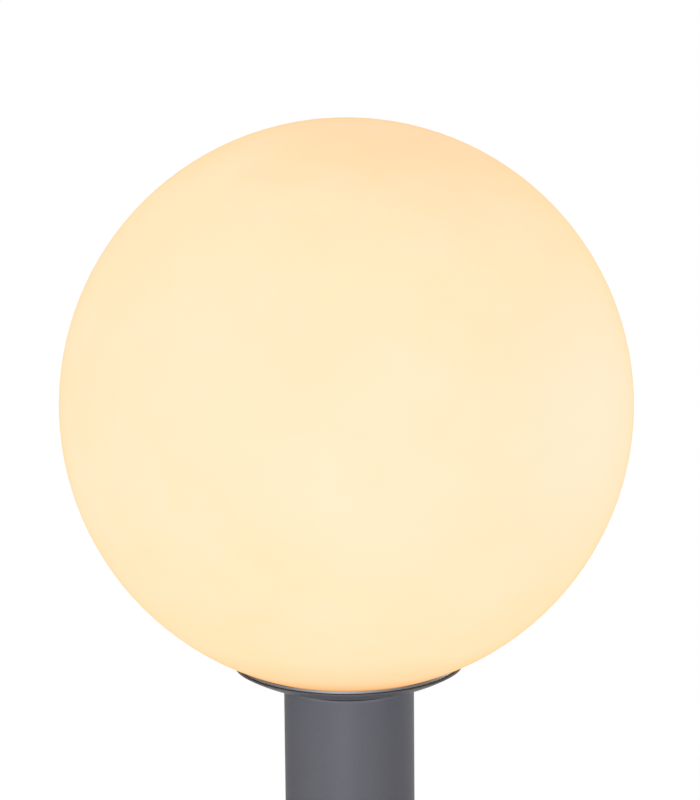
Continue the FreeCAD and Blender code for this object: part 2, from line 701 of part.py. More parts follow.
def lamp_tip():
    """The lamp's tip contact."""
    return cylinder(LAMP_TIP_RADIUS, LAMP_TIP_BOTTOM, LAMP_INSULATOR_BOTTOM)


def lamp_insulator():
    """The insulating cone between the lamp's tip and its screw cap."""
    return (
        Outline(0, LAMP_INSULATOR_BOTTOM)
        .to(LAMP_TIP_RADIUS, LAMP_INSULATOR_BOTTOM)
        .to(LAMP_INSULATOR_RADIUS, LAMP_CAP_BOTTOM)
        .to(0, LAMP_CAP_BOTTOM)
        .solid()
    )


def lamp_cap():
    """The lamp's screw cap, a thin cup that tapers to the insulator."""
    floor = LAMP_CAP_BOTTOM + LAMP_CAP_WALL
    shoulder = LAMP_CAP_BOTTOM + LAMP_CAP_TAPER
    inner = LAMP_CAP_RADIUS - LAMP_CAP_WALL
    return (
        Outline(0, LAMP_CAP_BOTTOM)
        .to(LAMP_INSULATOR_RADIUS, LAMP_CAP_BOTTOM)
        .to(LAMP_CAP_RADIUS, shoulder)
        .to(LAMP_CAP_RADIUS, LAMP_BODY_BOTTOM)
        .to(inner, LAMP_BODY_BOTTOM)
        .to(inner, shoulder + LAMP_CAP_WALL)
        .to(LAMP_INSULATOR_RADIUS, floor)
        .to(0, floor)
        .solid()
    )


def lamp_flare(bottom_radius, top_radius, low, high):
    """The middle point of the lamp body's flaring side."""
    height = (low + high) / 2
    radius = (bottom_radius + top_radius) / 2
    return radius + LAMP_FLARE_SHARE * (top_radius - bottom_radius), height


def lamp_body():
    """The lamp's flaring body, hollow for the driver and closed by a plate under the dome."""
    low = LAMP_CAP_RADIUS + LAMP_NECK_STEP
    high = LAMP_SEAM_RADIUS
    inner_low = low - LAMP_BODY_WALL
    inner_high = high - LAMP_BODY_WALL
    plate = LAMP_DOME_BOTTOM - LAMP_BODY_HOLLOW
    return (
        Outline(inner_low, LAMP_BODY_BOTTOM)
        .to(low, LAMP_BODY_BOTTOM)
        .arc(lamp_flare(low, high, LAMP_BODY_BOTTOM, LAMP_DOME_BOTTOM), (high, LAMP_DOME_BOTTOM))
        .to(0, LAMP_DOME_BOTTOM)
        .to(0, plate)
        .to(inner_high, plate)
        .arc(lamp_flare(inner_low, inner_high, LAMP_BODY_BOTTOM, plate), (inner_low, LAMP_BODY_BOTTOM))
        .solid()
    )


def lamp_led_board():
    """The round board that carries the lamp's light sources."""
    return cylinder(LED_BOARD_RADIUS, LAMP_DOME_BOTTOM, LAMP_DOME_BOTTOM + LED_BOARD_THICKNESS)


def lamp_dome():
    """The lamp's frosted dome, a thin part of a sphere."""
    centre = LAMP_DOME_BOTTOM + LAMP_DOME_RISE
    inner = LAMP_RADIUS - LAMP_DOME_WALL
    return (
        Outline(LAMP_INNER_SEAM_RADIUS, LAMP_DOME_BOTTOM)
        .to(LAMP_SEAM_RADIUS, LAMP_DOME_BOTTOM)
        .arc((LAMP_RADIUS, centre), (0, centre + LAMP_RADIUS))
        .to(0, centre + inner)
        .arc((inner, centre), (LAMP_INNER_SEAM_RADIUS, LAMP_DOME_BOTTOM))
        .solid()
    )


def gland_body():
    """The cable gland's body: a stem through the floor, a hexagon on it and a neck for the cap."""
    low = FLOOR_BOTTOM - GLAND_NUT_HEIGHT - GLAND_STEM_TAIL
    hex_top = FLANGE_TOP + GLAND_HEX_HEIGHT
    neck_top = hex_top + GLAND_NECK_HEIGHT
    body = cylinder(GLAND_STEM_RADIUS, low, neck_top)
    body = body.fuse(hexagon(GLAND_HEX_WIDTH, FLANGE_TOP, hex_top))
    seal_seat = cylinder(GLAND_SEAL_RADIUS + SNUG_GAP, neck_top - GLAND_SEAL_HEIGHT, neck_top + OVERRUN)
    return drill(body, [cylinder(GLAND_BORE_RADIUS, low - OVERRUN, neck_top), seal_seat])


def gland_seal():
    """The rubber seal that closes round the supply cable."""
    top = FLANGE_TOP + GLAND_HEX_HEIGHT + GLAND_NECK_HEIGHT
    return ring(GLAND_SEAL_BORE_RADIUS, GLAND_SEAL_RADIUS, top - GLAND_SEAL_HEIGHT, top)


def gland_cap():
    """The gland's domed clamping cap."""
    low = FLANGE_TOP + GLAND_HEX_HEIGHT
    top = low + GLAND_CAP_HEIGHT
    inner = GLAND_STEM_RADIUS + SNUG_GAP
    outer = inner + GLAND_CAP_WALL
    seal_top = low + GLAND_NECK_HEIGHT
    return (
        Outline(inner, low)
        .to(outer, low)
        .to(outer, top - GLAND_CAP_TOP)
        .to(outer - GLAND_CAP_TOP, top)
        .to(GLAND_CAP_HOLE_RADIUS, top)
        .to(GLAND_CAP_HOLE_RADIUS, seal_top)
        .to(inner, seal_top)
        .solid()
    )


def gland_locknut():
    """The nut that holds the gland from below, inside the flange's recess."""
    low = FLOOR_BOTTOM - GLAND_NUT_HEIGHT
    nut_body = hexagon(GLAND_HEX_WIDTH, low, FLOOR_BOTTOM)
    return nut_body.cut(cylinder(GLAND_STEM_RADIUS + SNUG_GAP, low - OVERRUN, FLOOR_BOTTOM + OVERRUN))


def bracket_screw_level():
    """The height of the bracket screw's axis."""
    return FLANGE_TOP + BRACKET_SCREW_HEIGHT


def bracket_screw_hole():
    """The cutter of the bracket screw's hole, through the bracket and the spigot's wall."""
    start = FreeCAD.Vector(0, BRACKET_OFFSET - OVERRUN, bracket_screw_level())
    length = SPIGOT_RADIUS + OVERRUN - start.y
    return Part.makeCylinder(BRACKET_SCREW_RADIUS + SCREW_GAP, length, start, FORWARD)


def terminal_bracket():
    """The strip that carries the terminal block, screwed to the inside of the spigot."""
    corner = FreeCAD.Vector(-BRACKET_WIDTH / 2, BRACKET_OFFSET, FLANGE_TOP)
    strip = Part.makeBox(BRACKET_WIDTH, BRACKET_THICKNESS, BRACKET_HEIGHT, corner)
    strip = strip.makeFillet(BRACKET_CORNER, [edge for edge in strip.Edges if is_top_corner(edge)])
    return drill(strip, [bracket_screw_hole(), earth_screw_hole()])


def is_top_corner(edge):
    """Whether an edge is one of the bracket's two short top corners."""
    first, last = [vertex.Point for vertex in edge.Vertexes]
    level = FLANGE_TOP + BRACKET_HEIGHT
    at_top = min(first.z, last.z) > level - BRACKET_THICKNESS
    return at_top and first.x == last.x


def earth_screw_height():
    """The height of the earth screw's axis."""
    return FLANGE_TOP + BRACKET_HEIGHT - EARTH_SCREW_DROP


def earth_screw_hole():
    """The cutter of the earth screw's hole, through the bracket and the tag."""
    start = FreeCAD.Vector(0, BRACKET_OFFSET - EARTH_TAG_THICKNESS - OVERRUN, earth_screw_height())
    length = BRACKET_THICKNESS + EARTH_TAG_THICKNESS + 2 * OVERRUN
    return Part.makeCylinder(EARTH_SCREW_RADIUS + SCREW_GAP, length, start, FORWARD)


def bracket_screw():
    """The screw that holds the bracket on the spigot."""
    level = bracket_screw_level()
    start = FreeCAD.Vector(0, BRACKET_OFFSET, level)
    shank = Part.makeCylinder(BRACKET_SCREW_RADIUS, SPIGOT_RADIUS - BRACKET_OFFSET - SNUG_GAP, start, FORWARD)
    head_start = FreeCAD.Vector(0, BRACKET_OFFSET - BRACKET_SCREW_HEAD, level)
    head = Part.makeCylinder(BRACKET_SCREW_HEAD_RADIUS, BRACKET_SCREW_HEAD, head_start, FORWARD)
    return shank.fuse(head)


def block_places():
    """The X place of each pole of the terminal block."""
    middle = (BLOCK_POLE_COUNT - 1) / 2
    return [(index - middle) * BLOCK_POLE_PITCH for index in range(BLOCK_POLE_COUNT)]


def block_levels():
    """The heights of the two rows of terminal screws."""
    low = FLANGE_TOP + BLOCK_BOTTOM
    return [low + BLOCK_HEIGHT / 4, low + 3 * BLOCK_HEIGHT / 4]


def block_front():
    """The Y place of the terminal block's front face."""
    return BRACKET_OFFSET - BLOCK_DEPTH


def lead_place():
    """The Y place at which the leads enter the terminal block."""
    return BRACKET_OFFSET - BLOCK_DEPTH / 2


def terminal_block():
    """The terminal block: one cell for each lead, with grooves between and an entry above and below."""
    low = FLANGE_TOP + BLOCK_BOTTOM
    width = BLOCK_POLE_COUNT * BLOCK_POLE_PITCH
    corner = FreeCAD.Vector(-width / 2, block_front(), low)
    block = Part.makeBox(width, BLOCK_DEPTH, BLOCK_HEIGHT, corner)
    cutters = []
    for place in block_places():
        cutters += block_entries(place, low)
        cutters += [terminal_hole(place, level) for level in block_levels()]
    for place in block_places()[1:]:
        cutters.append(block_groove(place - BLOCK_POLE_PITCH / 2, low))
    return drill(block, cutters)


def block_entries(place, low):
    """The cutters of a cell's two lead entries."""
    high = low + BLOCK_HEIGHT
    radius = LEAD_RADIUS + SNUG_GAP
    return [
        cylinder(radius, low - OVERRUN, low + BLOCK_ENTRY_DEPTH, place, lead_place()),
        cylinder(radius, high - BLOCK_ENTRY_DEPTH, high + OVERRUN, place, lead_place()),
    ]


def block_groove(place, low):
    """The cutter of a groove between two cells, down the block's front."""
    corner = FreeCAD.Vector(place - BLOCK_GROOVE / 2, block_front() - OVERRUN, low - OVERRUN)
    return Part.makeBox(BLOCK_GROOVE, BLOCK_GROOVE + OVERRUN, BLOCK_HEIGHT + 2 * OVERRUN, corner)


def terminal_screw_length():
    """The length of a terminal screw, which ends just short of the lead that it clamps."""
    return BLOCK_DEPTH / 2 - LEAD_RADIUS - TERMINAL_SCREW_SINK - SCREW_GAP


def terminal_hole(place, level):
    """The cutter of a terminal screw's hole in the block's front."""
    start = FreeCAD.Vector(place, block_front() - OVERRUN, level)
    length = OVERRUN + TERMINAL_SCREW_SINK + terminal_screw_length()
    return Part.makeCylinder(TERMINAL_SCREW_RADIUS + SCREW_GAP, length, start, FORWARD)


def terminal_screws():
    """The slotted screws of the terminal block."""
    screws = []
    for place in block_places():
        for level in block_levels():
            screws.append(terminal_screw(place, level))
    return Part.makeCompound(screws)


def terminal_screw(place, level):
    """One slotted screw, its head just inside the block's front."""
    front = block_front() + TERMINAL_SCREW_SINK
    start = FreeCAD.Vector(place, front, level)
    screw = Part.makeCylinder(TERMINAL_SCREW_RADIUS, terminal_screw_length(), start, FORWARD)
    reach = TERMINAL_SCREW_RADIUS + OVERRUN
    corner = FreeCAD.Vector(place - reach, front - OVERRUN, level - TERMINAL_SCREW_SLOT / 2)
    slot = Part.makeBox(2 * reach, OVERRUN + TERMINAL_SCREW_SLOT, TERMINAL_SCREW_SLOT, corner)
    return screw.cut(slot)


def earth_tag():
    """The ring tag on the bracket, with a barrel for the earth lead."""
    back = BRACKET_OFFSET
    front = back - EARTH_TAG_THICKNESS
    level = earth_screw_height()
    eye_start = FreeCAD.Vector(0, front, level)
    eye = Part.makeCylinder(EARTH_TAG_RADIUS, EARTH_TAG_THICKNESS, eye_start, FORWARD)
    barrel_low = level - EARTH_TAG_RADIUS - EARTH_BARREL_LENGTH
    barrel = cylinder(EARTH_BARREL_RADIUS, barrel_low, barrel_low + EARTH_BARREL_LENGTH, 0, barrel_place())
    neck = Part.makeBox(
        2 * EARTH_BARREL_RADIUS,
        EARTH_TAG_THICKNESS,
        EARTH_TAG_RADIUS + EARTH_BARREL_LENGTH,
        FreeCAD.Vector(-EARTH_BARREL_RADIUS, front, barrel_low),
    )
    tag = eye.fuse(neck).fuse(barrel)
    socket_top = barrel_low + EARTH_BARREL_LENGTH / 2
    socket = cylinder(LEAD_RADIUS + SCREW_GAP, barrel_low - OVERRUN, socket_top, 0, barrel_place())
    return drill(tag, [earth_screw_hole(), socket])


def barrel_place():
    """The Y place of the tag's barrel, which touches the bracket."""
    return BRACKET_OFFSET - EARTH_BARREL_RADIUS


def earth_screw():
    """The earth screw through the tag and the bracket."""
    head_back = BRACKET_OFFSET - EARTH_TAG_THICKNESS
    level = earth_screw_height()
    shank_start = FreeCAD.Vector(0, head_back, level)
    shank = Part.makeCylinder(EARTH_SCREW_RADIUS, EARTH_SCREW_LENGTH, shank_start, FORWARD)
    head_start = FreeCAD.Vector(0, head_back - EARTH_SCREW_HEAD, level)
    head = Part.makeCylinder(EARTH_SCREW_HEAD_RADIUS, EARTH_SCREW_HEAD, head_start, FORWARD)
    return shank.fuse(head)


def bent_path(points):
    """Straight runs joined by tangent arcs, as large as the two runs at each corner allow."""
    edges = []
    start = points[0]
    for before, corner, after in zip(points, points[1:], points[2:]):
        back = before - corner
        ahead = after - corner
        half_turn = (math.pi - back.getAngle(ahead)) / 2
        setback = BEND_SHARE * min(back.Length, ahead.Length)
        radius = setback / math.tan(half_turn)
        first = corner + back * (setback / back.Length)
        last = corner + ahead * (setback / ahead.Length)
        bisector = (first + last) * 0.5 - corner
        depth = radius / math.cos(half_turn) - radius
        through = corner + bisector * (depth / bisector.Length)
        edges.append(Part.LineSegment(start, first).toShape())
        edges.append(Part.Arc(first, through, last).toShape())
        start = last
    edges.append(Part.LineSegment(start, points[-1]).toShape())
    return Part.Wire(edges)


def lead(points):
    """An insulated lead swept along its route, which starts straight up."""
    section = Part.Wire([Part.makeCircle(LEAD_RADIUS, points[0], UP)])
    return bent_path(points).makePipeShell([section], True, False)


def supply_lead(side):
    """A lead from an outer cell of the block, up the pole and through the tube to the holder."""
    cell = block_places()[0 if side < 0 else -1]
    bottom = FLANGE_TOP + BLOCK_BOTTOM + BLOCK_HEIGHT - BLOCK_ENTRY_DEPTH
    tube_low = PLUG_BOTTOM - NUT_HEIGHT - TUBE_TAIL
    return lead(
        [
            FreeCAD.Vector(cell, lead_place(), bottom),
            FreeCAD.Vector(cell, lead_place(), bottom + LEAD_RISE),
            FreeCAD.Vector(side * LEAD_SPACING, 0, tube_low - LEAD_APPROACH),
            FreeCAD.Vector(side * LEAD_SPACING, 0, INSERT_BOTTOM),
        ]
    )


def lead_earth():
    """The earth lead, from the middle cell to the barrel of the tag."""
    bottom = FLANGE_TOP + BLOCK_BOTTOM + BLOCK_HEIGHT - BLOCK_ENTRY_DEPTH
    barrel_low = earth_screw_height() - EARTH_TAG_RADIUS - EARTH_BARREL_LENGTH
    middle_cell = block_places()[BLOCK_POLE_COUNT // 2]
    return lead(
        [
            FreeCAD.Vector(middle_cell, lead_place(), bottom),
            FreeCAD.Vector(middle_cell, lead_place(), bottom + BLOCK_ENTRY_DEPTH + EARTH_LEAD_RISE),
            FreeCAD.Vector(middle_cell, barrel_place(), barrel_low - EARTH_LEAD_RISE),
            FreeCAD.Vector(middle_cell, barrel_place(), barrel_low + EARTH_BARREL_LENGTH / 2),
        ]
    )


def all_parts():
    """Every piece of the light, by the name of its node."""
    return {
        "base_pad": base_pad(),
        "base_flange": base_flange(),
        "pole": pole(),
        "pole_grub_screws": pole_grub_screws(),
        "gland_body": gland_body(),
        "gland_locknut": gland_locknut(),
        "gland_seal": gland_seal(),
        "gland_cap": gland_cap(),
        "terminal_bracket": terminal_bracket(),
        "bracket_screw": bracket_screw(),
        "terminal_block": terminal_block(),
        "terminal_screws": terminal_screws(),
        "earth_tag": earth_tag(),
        "earth_screw": earth_screw(),
        "lead_live": supply_lead(-1),
        "lead_neutral": supply_lead(1),
        "lead_earth": lead_earth(),
        "pole_top_plug": pole_top_plug(),
        "pole_top_seal": pole_top_seal(),
        "collar_dish": collar_dish(),
        "seat_ring": seat_ring(),
        "threaded_gallery": threaded_gallery(),
        "gallery_screws": gallery_screws(),
        "threaded_tube": threaded_tube(),
        "tube_lower_nut": nut(PLUG_BOTTOM - NUT_HEIGHT),
        "tube_upper_nut": nut(WASHER_TOP),
        "lock_washer": lock_washer(),
        "holder_cap": holder_cap(),
        "holder_shell": holder_shell(),
        "holder_insert": holder_insert(),
        "holder_thread_shell": holder_thread_shell(),
        "holder_centre_contact": holder_centre_contact(),
        "lamp_tip": lamp_tip(),
        "lamp_insulator": lamp_insulator(),
        "lamp_cap": lamp_cap(),
        "lamp_body": lamp_body(),
        "lamp_led_board": lamp_led_board(),
        "lamp_dome": lamp_dome(),
        "globe_gasket": globe_gasket(),
        "globe_neck": globe_neck(),
        "globe": globe(),
    }


os.makedirs("parts", exist_ok=True)
for name, shape in all_parts().items():
    shape.exportStep(f"parts/{name}.step")
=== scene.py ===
"""Dresses the outdoor pedestal light: finishes, threads, small details, studio and camera.

All lengths are metres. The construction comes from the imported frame, and every piece that is
added here takes its place from the box of the node that carries it.
"""

from __future__ import annotations

import json
import logging
import math
from dataclasses import dataclass, field
from enum import Enum

import bmesh
import bpy
from mathutils import Matrix, Vector

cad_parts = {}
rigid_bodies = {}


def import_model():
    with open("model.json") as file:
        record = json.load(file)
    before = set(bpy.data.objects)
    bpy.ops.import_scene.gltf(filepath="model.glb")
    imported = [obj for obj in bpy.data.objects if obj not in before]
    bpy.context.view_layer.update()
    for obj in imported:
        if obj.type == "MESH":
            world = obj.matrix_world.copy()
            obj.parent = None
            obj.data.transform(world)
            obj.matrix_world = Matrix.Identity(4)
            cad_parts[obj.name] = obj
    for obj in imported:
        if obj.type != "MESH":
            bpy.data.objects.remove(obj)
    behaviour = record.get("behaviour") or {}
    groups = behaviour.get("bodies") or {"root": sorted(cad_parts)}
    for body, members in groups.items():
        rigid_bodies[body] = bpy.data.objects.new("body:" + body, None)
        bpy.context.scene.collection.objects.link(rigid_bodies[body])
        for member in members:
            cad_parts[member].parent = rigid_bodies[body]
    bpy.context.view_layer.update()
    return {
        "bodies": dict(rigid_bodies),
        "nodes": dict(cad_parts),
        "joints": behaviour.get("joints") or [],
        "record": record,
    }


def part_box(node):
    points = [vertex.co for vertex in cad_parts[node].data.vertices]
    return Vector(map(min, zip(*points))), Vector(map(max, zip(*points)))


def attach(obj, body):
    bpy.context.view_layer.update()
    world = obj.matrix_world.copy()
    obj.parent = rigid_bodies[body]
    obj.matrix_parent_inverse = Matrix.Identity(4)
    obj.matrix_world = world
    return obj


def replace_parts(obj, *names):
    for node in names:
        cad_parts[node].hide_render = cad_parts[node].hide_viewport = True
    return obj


LOG = logging.getLogger("pedestal_light")
MILLIMETRE = 0.001
FULL_TURN = 2 * math.pi
SRGB_TOP = 255
SRGB_TOE = 0.04045
SRGB_TOE_SLOPE = 12.92
SRGB_OFFSET = 0.055
SRGB_POWER = 2.4

Colour = tuple[float, float, float]
Point = tuple[float, float, float]
Pair = tuple[float, float]
Profile = list[Pair]
Socket = bpy.types.NodeSocket
Inputs = dict[str | int, object]


class Body(Enum):
    """The rigid bodies that carry added pieces."""

    PEDESTAL = "pedestal"
    GLOBE = "globe"
    LAMP = "lamp"


class Side(Enum):
    """Which side of a sleeve carries a thread."""

    OUTSIDE = 1
    INSIDE = -1


def srgb(red: int, green: int, blue: int) -> Colour:
    """Turns a colour as seen on screen into the linear values that a shader takes.

    Args:
        red: The red channel, 0 to 255.
        green: The green channel, 0 to 255.
        blue: The blue channel, 0 to 255.

    Returns:
        The linear colour.
    """
    linear = []
    for channel in (red, green, blue):
        value = channel / SRGB_TOP
        if value <= SRGB_TOE:
            linear.append(value / SRGB_TOE_SLOPE)
        else:
            linear.append(((value + SRGB_OFFSET) / (1 + SRGB_OFFSET)) ** SRGB_POWER)
    return tuple(linear)


def around_axis(radius: float, angle: float, height: float) -> Point:
    """Returns the point at a radius and an angle round the pole's axis, at a height."""
    return radius * math.cos(angle), radius * math.sin(angle), height


def upright(radius: float, bottom: float, top: float, end: float) -> Profile:
    """Returns an upright profile with a short step at each end."""
    return [(radius, bottom), (radius, bottom + end), (radius, top - end), (radius, top)]


def arc_through(first: Pair, middle: Pair, last: Pair, count: int) -> Profile:
    """Spreads points along the arc through three points.

    Args:
        first: The radius and height of the arc's start.
        middle: A point on the arc.
        last: The arc's end.
        count: The number of steps.

    Returns:
        The radius and height of each point.
    """
    (ax, ay), (bx, by), (cx, cy) = first, middle, last
    scale = 2 * (ax * (by - cy) + bx * (cy - ay) + cx * (ay - by))
    first_square, middle_square, last_square = ax**2 + ay**2, bx**2 + by**2, cx**2 + cy**2
    centre_x = (first_square * (by - cy) + middle_square * (cy - ay) + last_square * (ay - by)) / scale
    centre_y = (first_square * (cx - bx) + middle_square * (ax - cx) + last_square * (bx - ax)) / scale
    radius = math.hypot(ax - centre_x, ay - centre_y)
    start = math.atan2(ay - centre_y, ax - centre_x)
    sweep = math.remainder(math.atan2(cy - centre_y, cx - centre_x) - start, FULL_TURN)
    points = []
    for step in range(count + 1):
        angle = start + sweep * step / count
        points.append((centre_x + radius * math.cos(angle), centre_y + radius * math.sin(angle)))
    return points


@dataclass(frozen=True)
class Grain:
    """Noise of one kind in object space, and the range that it is mapped to.

    The scale is in cycles per metre, detail is the number of octaves, stretch scales the axes
    and gain is the strength of each finer octave. Noise from start to end maps to low to high.
    Turned noise changes only with the height and the distance from the pole's axis.
    """

    scale: float
    detail: float = 2
    low: float = 0.0
    high: float = 1.0
    stretch: Point = (1, 1, 1)
    gain: float = 0.5
    start: float = 0.3
    end: float = 0.7
    turned: bool = False


class Shader:
    """A small helper that builds a node material step by step."""

    def __init__(self, name: str) -> None:
        """Starts a material with one Principled shader.

        Args:
            name: The material's name.
        """
        self.material = bpy.data.materials.new(name)
        self.material.use_nodes = True
        self.tree = self.material.node_tree
        self.principled = self.tree.nodes["Principled BSDF"]
        self.output = self.tree.nodes["Material Output"]
        surface = self.tree.nodes.new("ShaderNodeTexCoord")
        self.coordinates = surface.outputs["Object"]
        self.normal = surface.outputs["Normal"]

    def fill(self, node: bpy.types.Node, inputs: Inputs) -> None:
        """Joins or sets inputs of a node.

        Args:
            node: The node.
            inputs: A socket or a value for each input, by its name or number.
        """
        for key, value in inputs.items():
            if isinstance(value, Socket):
                self.tree.links.new(value, node.inputs[key])
            else:
                node.inputs[key].default_value = value

    def add(self, kind: str, inputs: Inputs, **properties: object) -> bpy.types.Node:
        """Adds a node.

        Args:
            kind: The node's type.
            inputs: A socket or a value for each input that is filled.
            properties: Properties of the node.

        Returns:
            The new node.
        """
        node = self.tree.nodes.new(kind)
        for key, value in properties.items():
            setattr(node, key, value)
        self.fill(node, inputs)
        return node

    def set(self, **inputs: object) -> None:
        """Fills inputs of the Principled shader by name, with underscores for spaces."""
        self.fill(self.principled, {key.replace("_", " "): value for key, value in inputs.items()})

    def noise(self, grain: Grain) -> Socket:
        """Adds noise.

        Args:
            grain: The kind of noise.

        Returns:
            The noise's value, around one half.
        """
        source = self.turned() if grain.turned else self.coordinates
        mapping = self.add("ShaderNodeMapping", {"Vector": source, "Scale": grain.stretch})
        inputs = {"Scale": grain.scale, "Detail": grain.detail, "Roughness": grain.gain}
        inputs["Vector"] = mapping.outputs["Vector"]
        return self.add("ShaderNodeTexNoise", inputs).outputs["Fac"]

    def vary(self, grain: Grain, middle: float = 0.0) -> Socket:
        """Adds noise and maps it to its range.

        Args:
            grain: The noise and its range.
            middle: The value that the range is counted from.

        Returns:
            The mapped noise.
        """
        low, high = middle + grain.low, middle + grain.high
        return self.remap(self.noise(grain), low, high, grain.start, grain.end)

    def remap(
        self,
        value: Socket,
        low: float,
        high: float,
        start: float,
        end: float,
        interpolation: str = "LINEAR",
    ) -> Socket:
        """Maps a value from one range to another, and holds it inside the new range.

        Args:
            value: The value to map.
            low: The result at start.
            high: The result at end.
            start: Where the incoming range starts.
            end: Where the incoming range ends.
            interpolation: How the range is crossed.

        Returns:
            The mapped value.
        """
        inputs = {"Value": value, "From Min": start, "From Max": end, "To Min": low, "To Max": high}
        node = self.add("ShaderNodeMapRange", inputs, interpolation_type=interpolation)
        return node.outputs["Result"]

    def math(self, operation: str, first: Socket, second: Socket | float = 0.0) -> Socket:
        """Joins two values by an operation such as MULTIPLY.

        Args:
            operation: The operation's name.
            first: The first value.
            second: The second value or a number.

        Returns:
            The result.
        """
        node = self.add("ShaderNodeMath", {0: first, 1: second}, operation=operation)
        return node.outputs["Value"]

    def reach(self) -> tuple[Socket, Socket]:
        """Measures where a point of the surface is.

        Returns:
            The distance from the pole's axis, and the height.
        """
        split = self.add("ShaderNodeSeparateXYZ", {"Vector": self.coordinates})
        square_x = self.math("MULTIPLY", split.outputs["X"], split.outputs["X"])
        square_y = self.math("MULTIPLY", split.outputs["Y"], split.outputs["Y"])
        return self.math("SQRT", self.math("ADD", square_x, square_y)), split.outputs["Z"]

    def turned(self) -> Socket:
        """Adds coordinates that are the same all round the pole's axis.

        Returns:
            The distance from the axis as X, and the height as Z.
        """
        distance, height = self.reach()
        return self.add("ShaderNodeCombineXYZ", {"X": distance, "Z": height}).outputs["Vector"]

    def tint(self, colour: Colour, shade: Socket) -> Socket:
        """Scales a colour by a varying shade.

        Args:
            colour: The linear colour.
            shade: The factor, around one.

        Returns:
            The varied colour.
        """
        node = self.add("ShaderNodeVectorMath", {0: colour, "Scale": shade}, operation="SCALE")
        return node.outputs["Vector"]

    def bump(self, height: Socket, strength: float, depth: float) -> None:
        """Adds a bump to the Principled shader.

        Args:
            height: The height value.
            strength: The bump's strength, 0 to 1.
            depth: The bump's depth in metres.
        """
        inputs = {"Height": height, "Strength": strength, "Distance": depth}
        self.set(Normal=self.add("ShaderNodeBump", inputs).outputs["Normal"])


@dataclass(frozen=True)
class PaintedEdgeLight:
    """An upward edge where light is painted into the coat's colour, as a tone of its own on the edge's
    upward face.
    """

    colour: Colour
    inner: float
    outer: float
    low: float
    slope_start: float = 0.1
    slope_end: float = 0.5

    def mask(self, shader: Shader) -> Socket:
        """Finds the edge's upward face, where the light is painted.

        Args:
            shader: The surface's shader.

        Returns:
            1 on that face and 0 elsewhere.
        """
        distance, height = shader.reach()
        split = shader.add("ShaderNodeSeparateXYZ", {"Vector": shader.normal})
        facing = shader.remap(split.outputs["Z"], 0.0, 1.0, self.slope_start, self.slope_end)
        outside = shader.math("GREATER_THAN", distance, self.inner)
        inside = shader.math("LESS_THAN", distance, self.outer)
        above = shader.math("GREATER_THAN", height, self.low)
        band = shader.math("MULTIPLY", outside, inside)
        return shader.math("MULTIPLY", facing, shader.math("MULTIPLY", band, above))


@dataclass(frozen=True)
class Surface:
    """A surface whose tone and gloss vary softly, with a fine grain in relief."""

    name: str
    colour: Colour
    roughness: float = 0.5
    grain: Grain = Grain(1500)
    grain_strength: float = 0.3
    grain_depth: float = 0.03 * MILLIMETRE
    metallic: float = 0.0
    specular: float = 0.5
    specular_tint: float = 1.0
    cloud: Grain = Grain(80, 3, 0.965, 1.03)
    fleck: Grain | None = None
    gloss: Grain = Grain(250, 2, -0.06, 0.06)

    def shade(self, shader: Shader) -> Socket:
        """Adds the clouds, and the flecks where the surface has them.

        Args:
            shader: The surface's shader.

        Returns:
            The shade, around one.
        """
        cloud = shader.vary(self.cloud)
        return cloud if self.fleck is None else shader.math("MULTIPLY", cloud, shader.vary(self.fleck))

    def tone(self, shader: Shader) -> Socket:
        """Returns the colour with its shade."""
        return shader.tint(self.colour, self.shade(shader))

    def light(self, shader: Shader) -> None:
        """Adds what the surface gives off, which is nothing unless a finish adds it."""

    def build(self) -> bpy.types.Material:
        """Builds the surface.

        Returns:
            The material.
        """
        shader = Shader(self.name)
        shader.set(Base_Color=self.tone(shader), Roughness=shader.vary(self.gloss, self.roughness))
        shader.set(Metallic=self.metallic, Specular_IOR_Level=self.specular)
        shader.set(Specular_Tint=(self.specular_tint, self.specular_tint, self.specular_tint, 1))
        self.light(shader)
        shader.bump(shader.noise(self.grain), self.grain_strength, self.grain_depth)
        return shader.material


@dataclass(frozen=True)
class Moulded(Surface):
    """Moulded plastic, rubber, glass or ceramic, with a faint grain."""


@dataclass(frozen=True)
class DullMetal(Surface):
    """Cast or plated metal with a fine uneven surface."""

    roughness: float = 0.45
    grain: Grain = Grain(1200)
    grain_strength: float = 0.4
    grain_depth: float = 0.04 * MILLIMETRE
    metallic: float = 1.0
    cloud: Grain = Grain(60, 3, 0.88, 1.08)
    gloss: Grain = Grain(180, 3, -0.1, 0.1)


@dataclass(frozen=True)
class TurnedMetal(Surface):
    """Metal turned on a lathe, with fine rings along its height or radius."""

    grain: Grain = Grain(2600, turned=True)
    grain_depth: float = 0.008 * MILLIMETRE
    metallic: float = 1.0
    cloud: Grain = Grain(40, 2, 0.95, 1.05)
    fleck: Grain = Grain(2600, 2, 0.93, 1.05, turned=True)
    gloss: Grain = Grain(2600, 2, 0.05, -0.05, turned=True)


@dataclass(frozen=True, kw_only=True)
class PowderCoat(Surface):
    """Satin powder coat over metal, with a fine orange-peel surface and painted light on two upward edges.
    """

    painted_lights: tuple[PaintedEdgeLight, ...]
    name: str = "powder_coat"
    roughness: float = 0.4
    grain: Grain = Grain(900)
    grain_strength: float = 0.35
    metallic: float = 0.1
    specular: float = 0.03
    specular_tint: float = 0.3
    cloud: Grain = Grain(14, 3, 0.95, 1.05)
    fleck: Grain = Grain(2700, 1, 0.93, 1.07)
    gloss: Grain = Grain(900, 1, -0.04, 0.04)

    def tone(self, shader: Shader) -> Socket:
        """Varies the colour and lays the painted light of the edges over it.

        Args:
            shader: The surface's shader.

        Returns:
            The coat's colour.
        """
        shade = self.shade(shader)
        tone = shader.tint(self.colour, shade)
        # Each edge's upward face takes its painted light colour in place of the coat's.
        for edge in self.painted_lights:
            inputs = {"Factor": edge.mask(shader), "A": tone, "B": shader.tint(edge.colour, shade)}
            tone = shader.add("ShaderNodeMix", inputs, data_type="RGBA").outputs["Result"]
        return tone


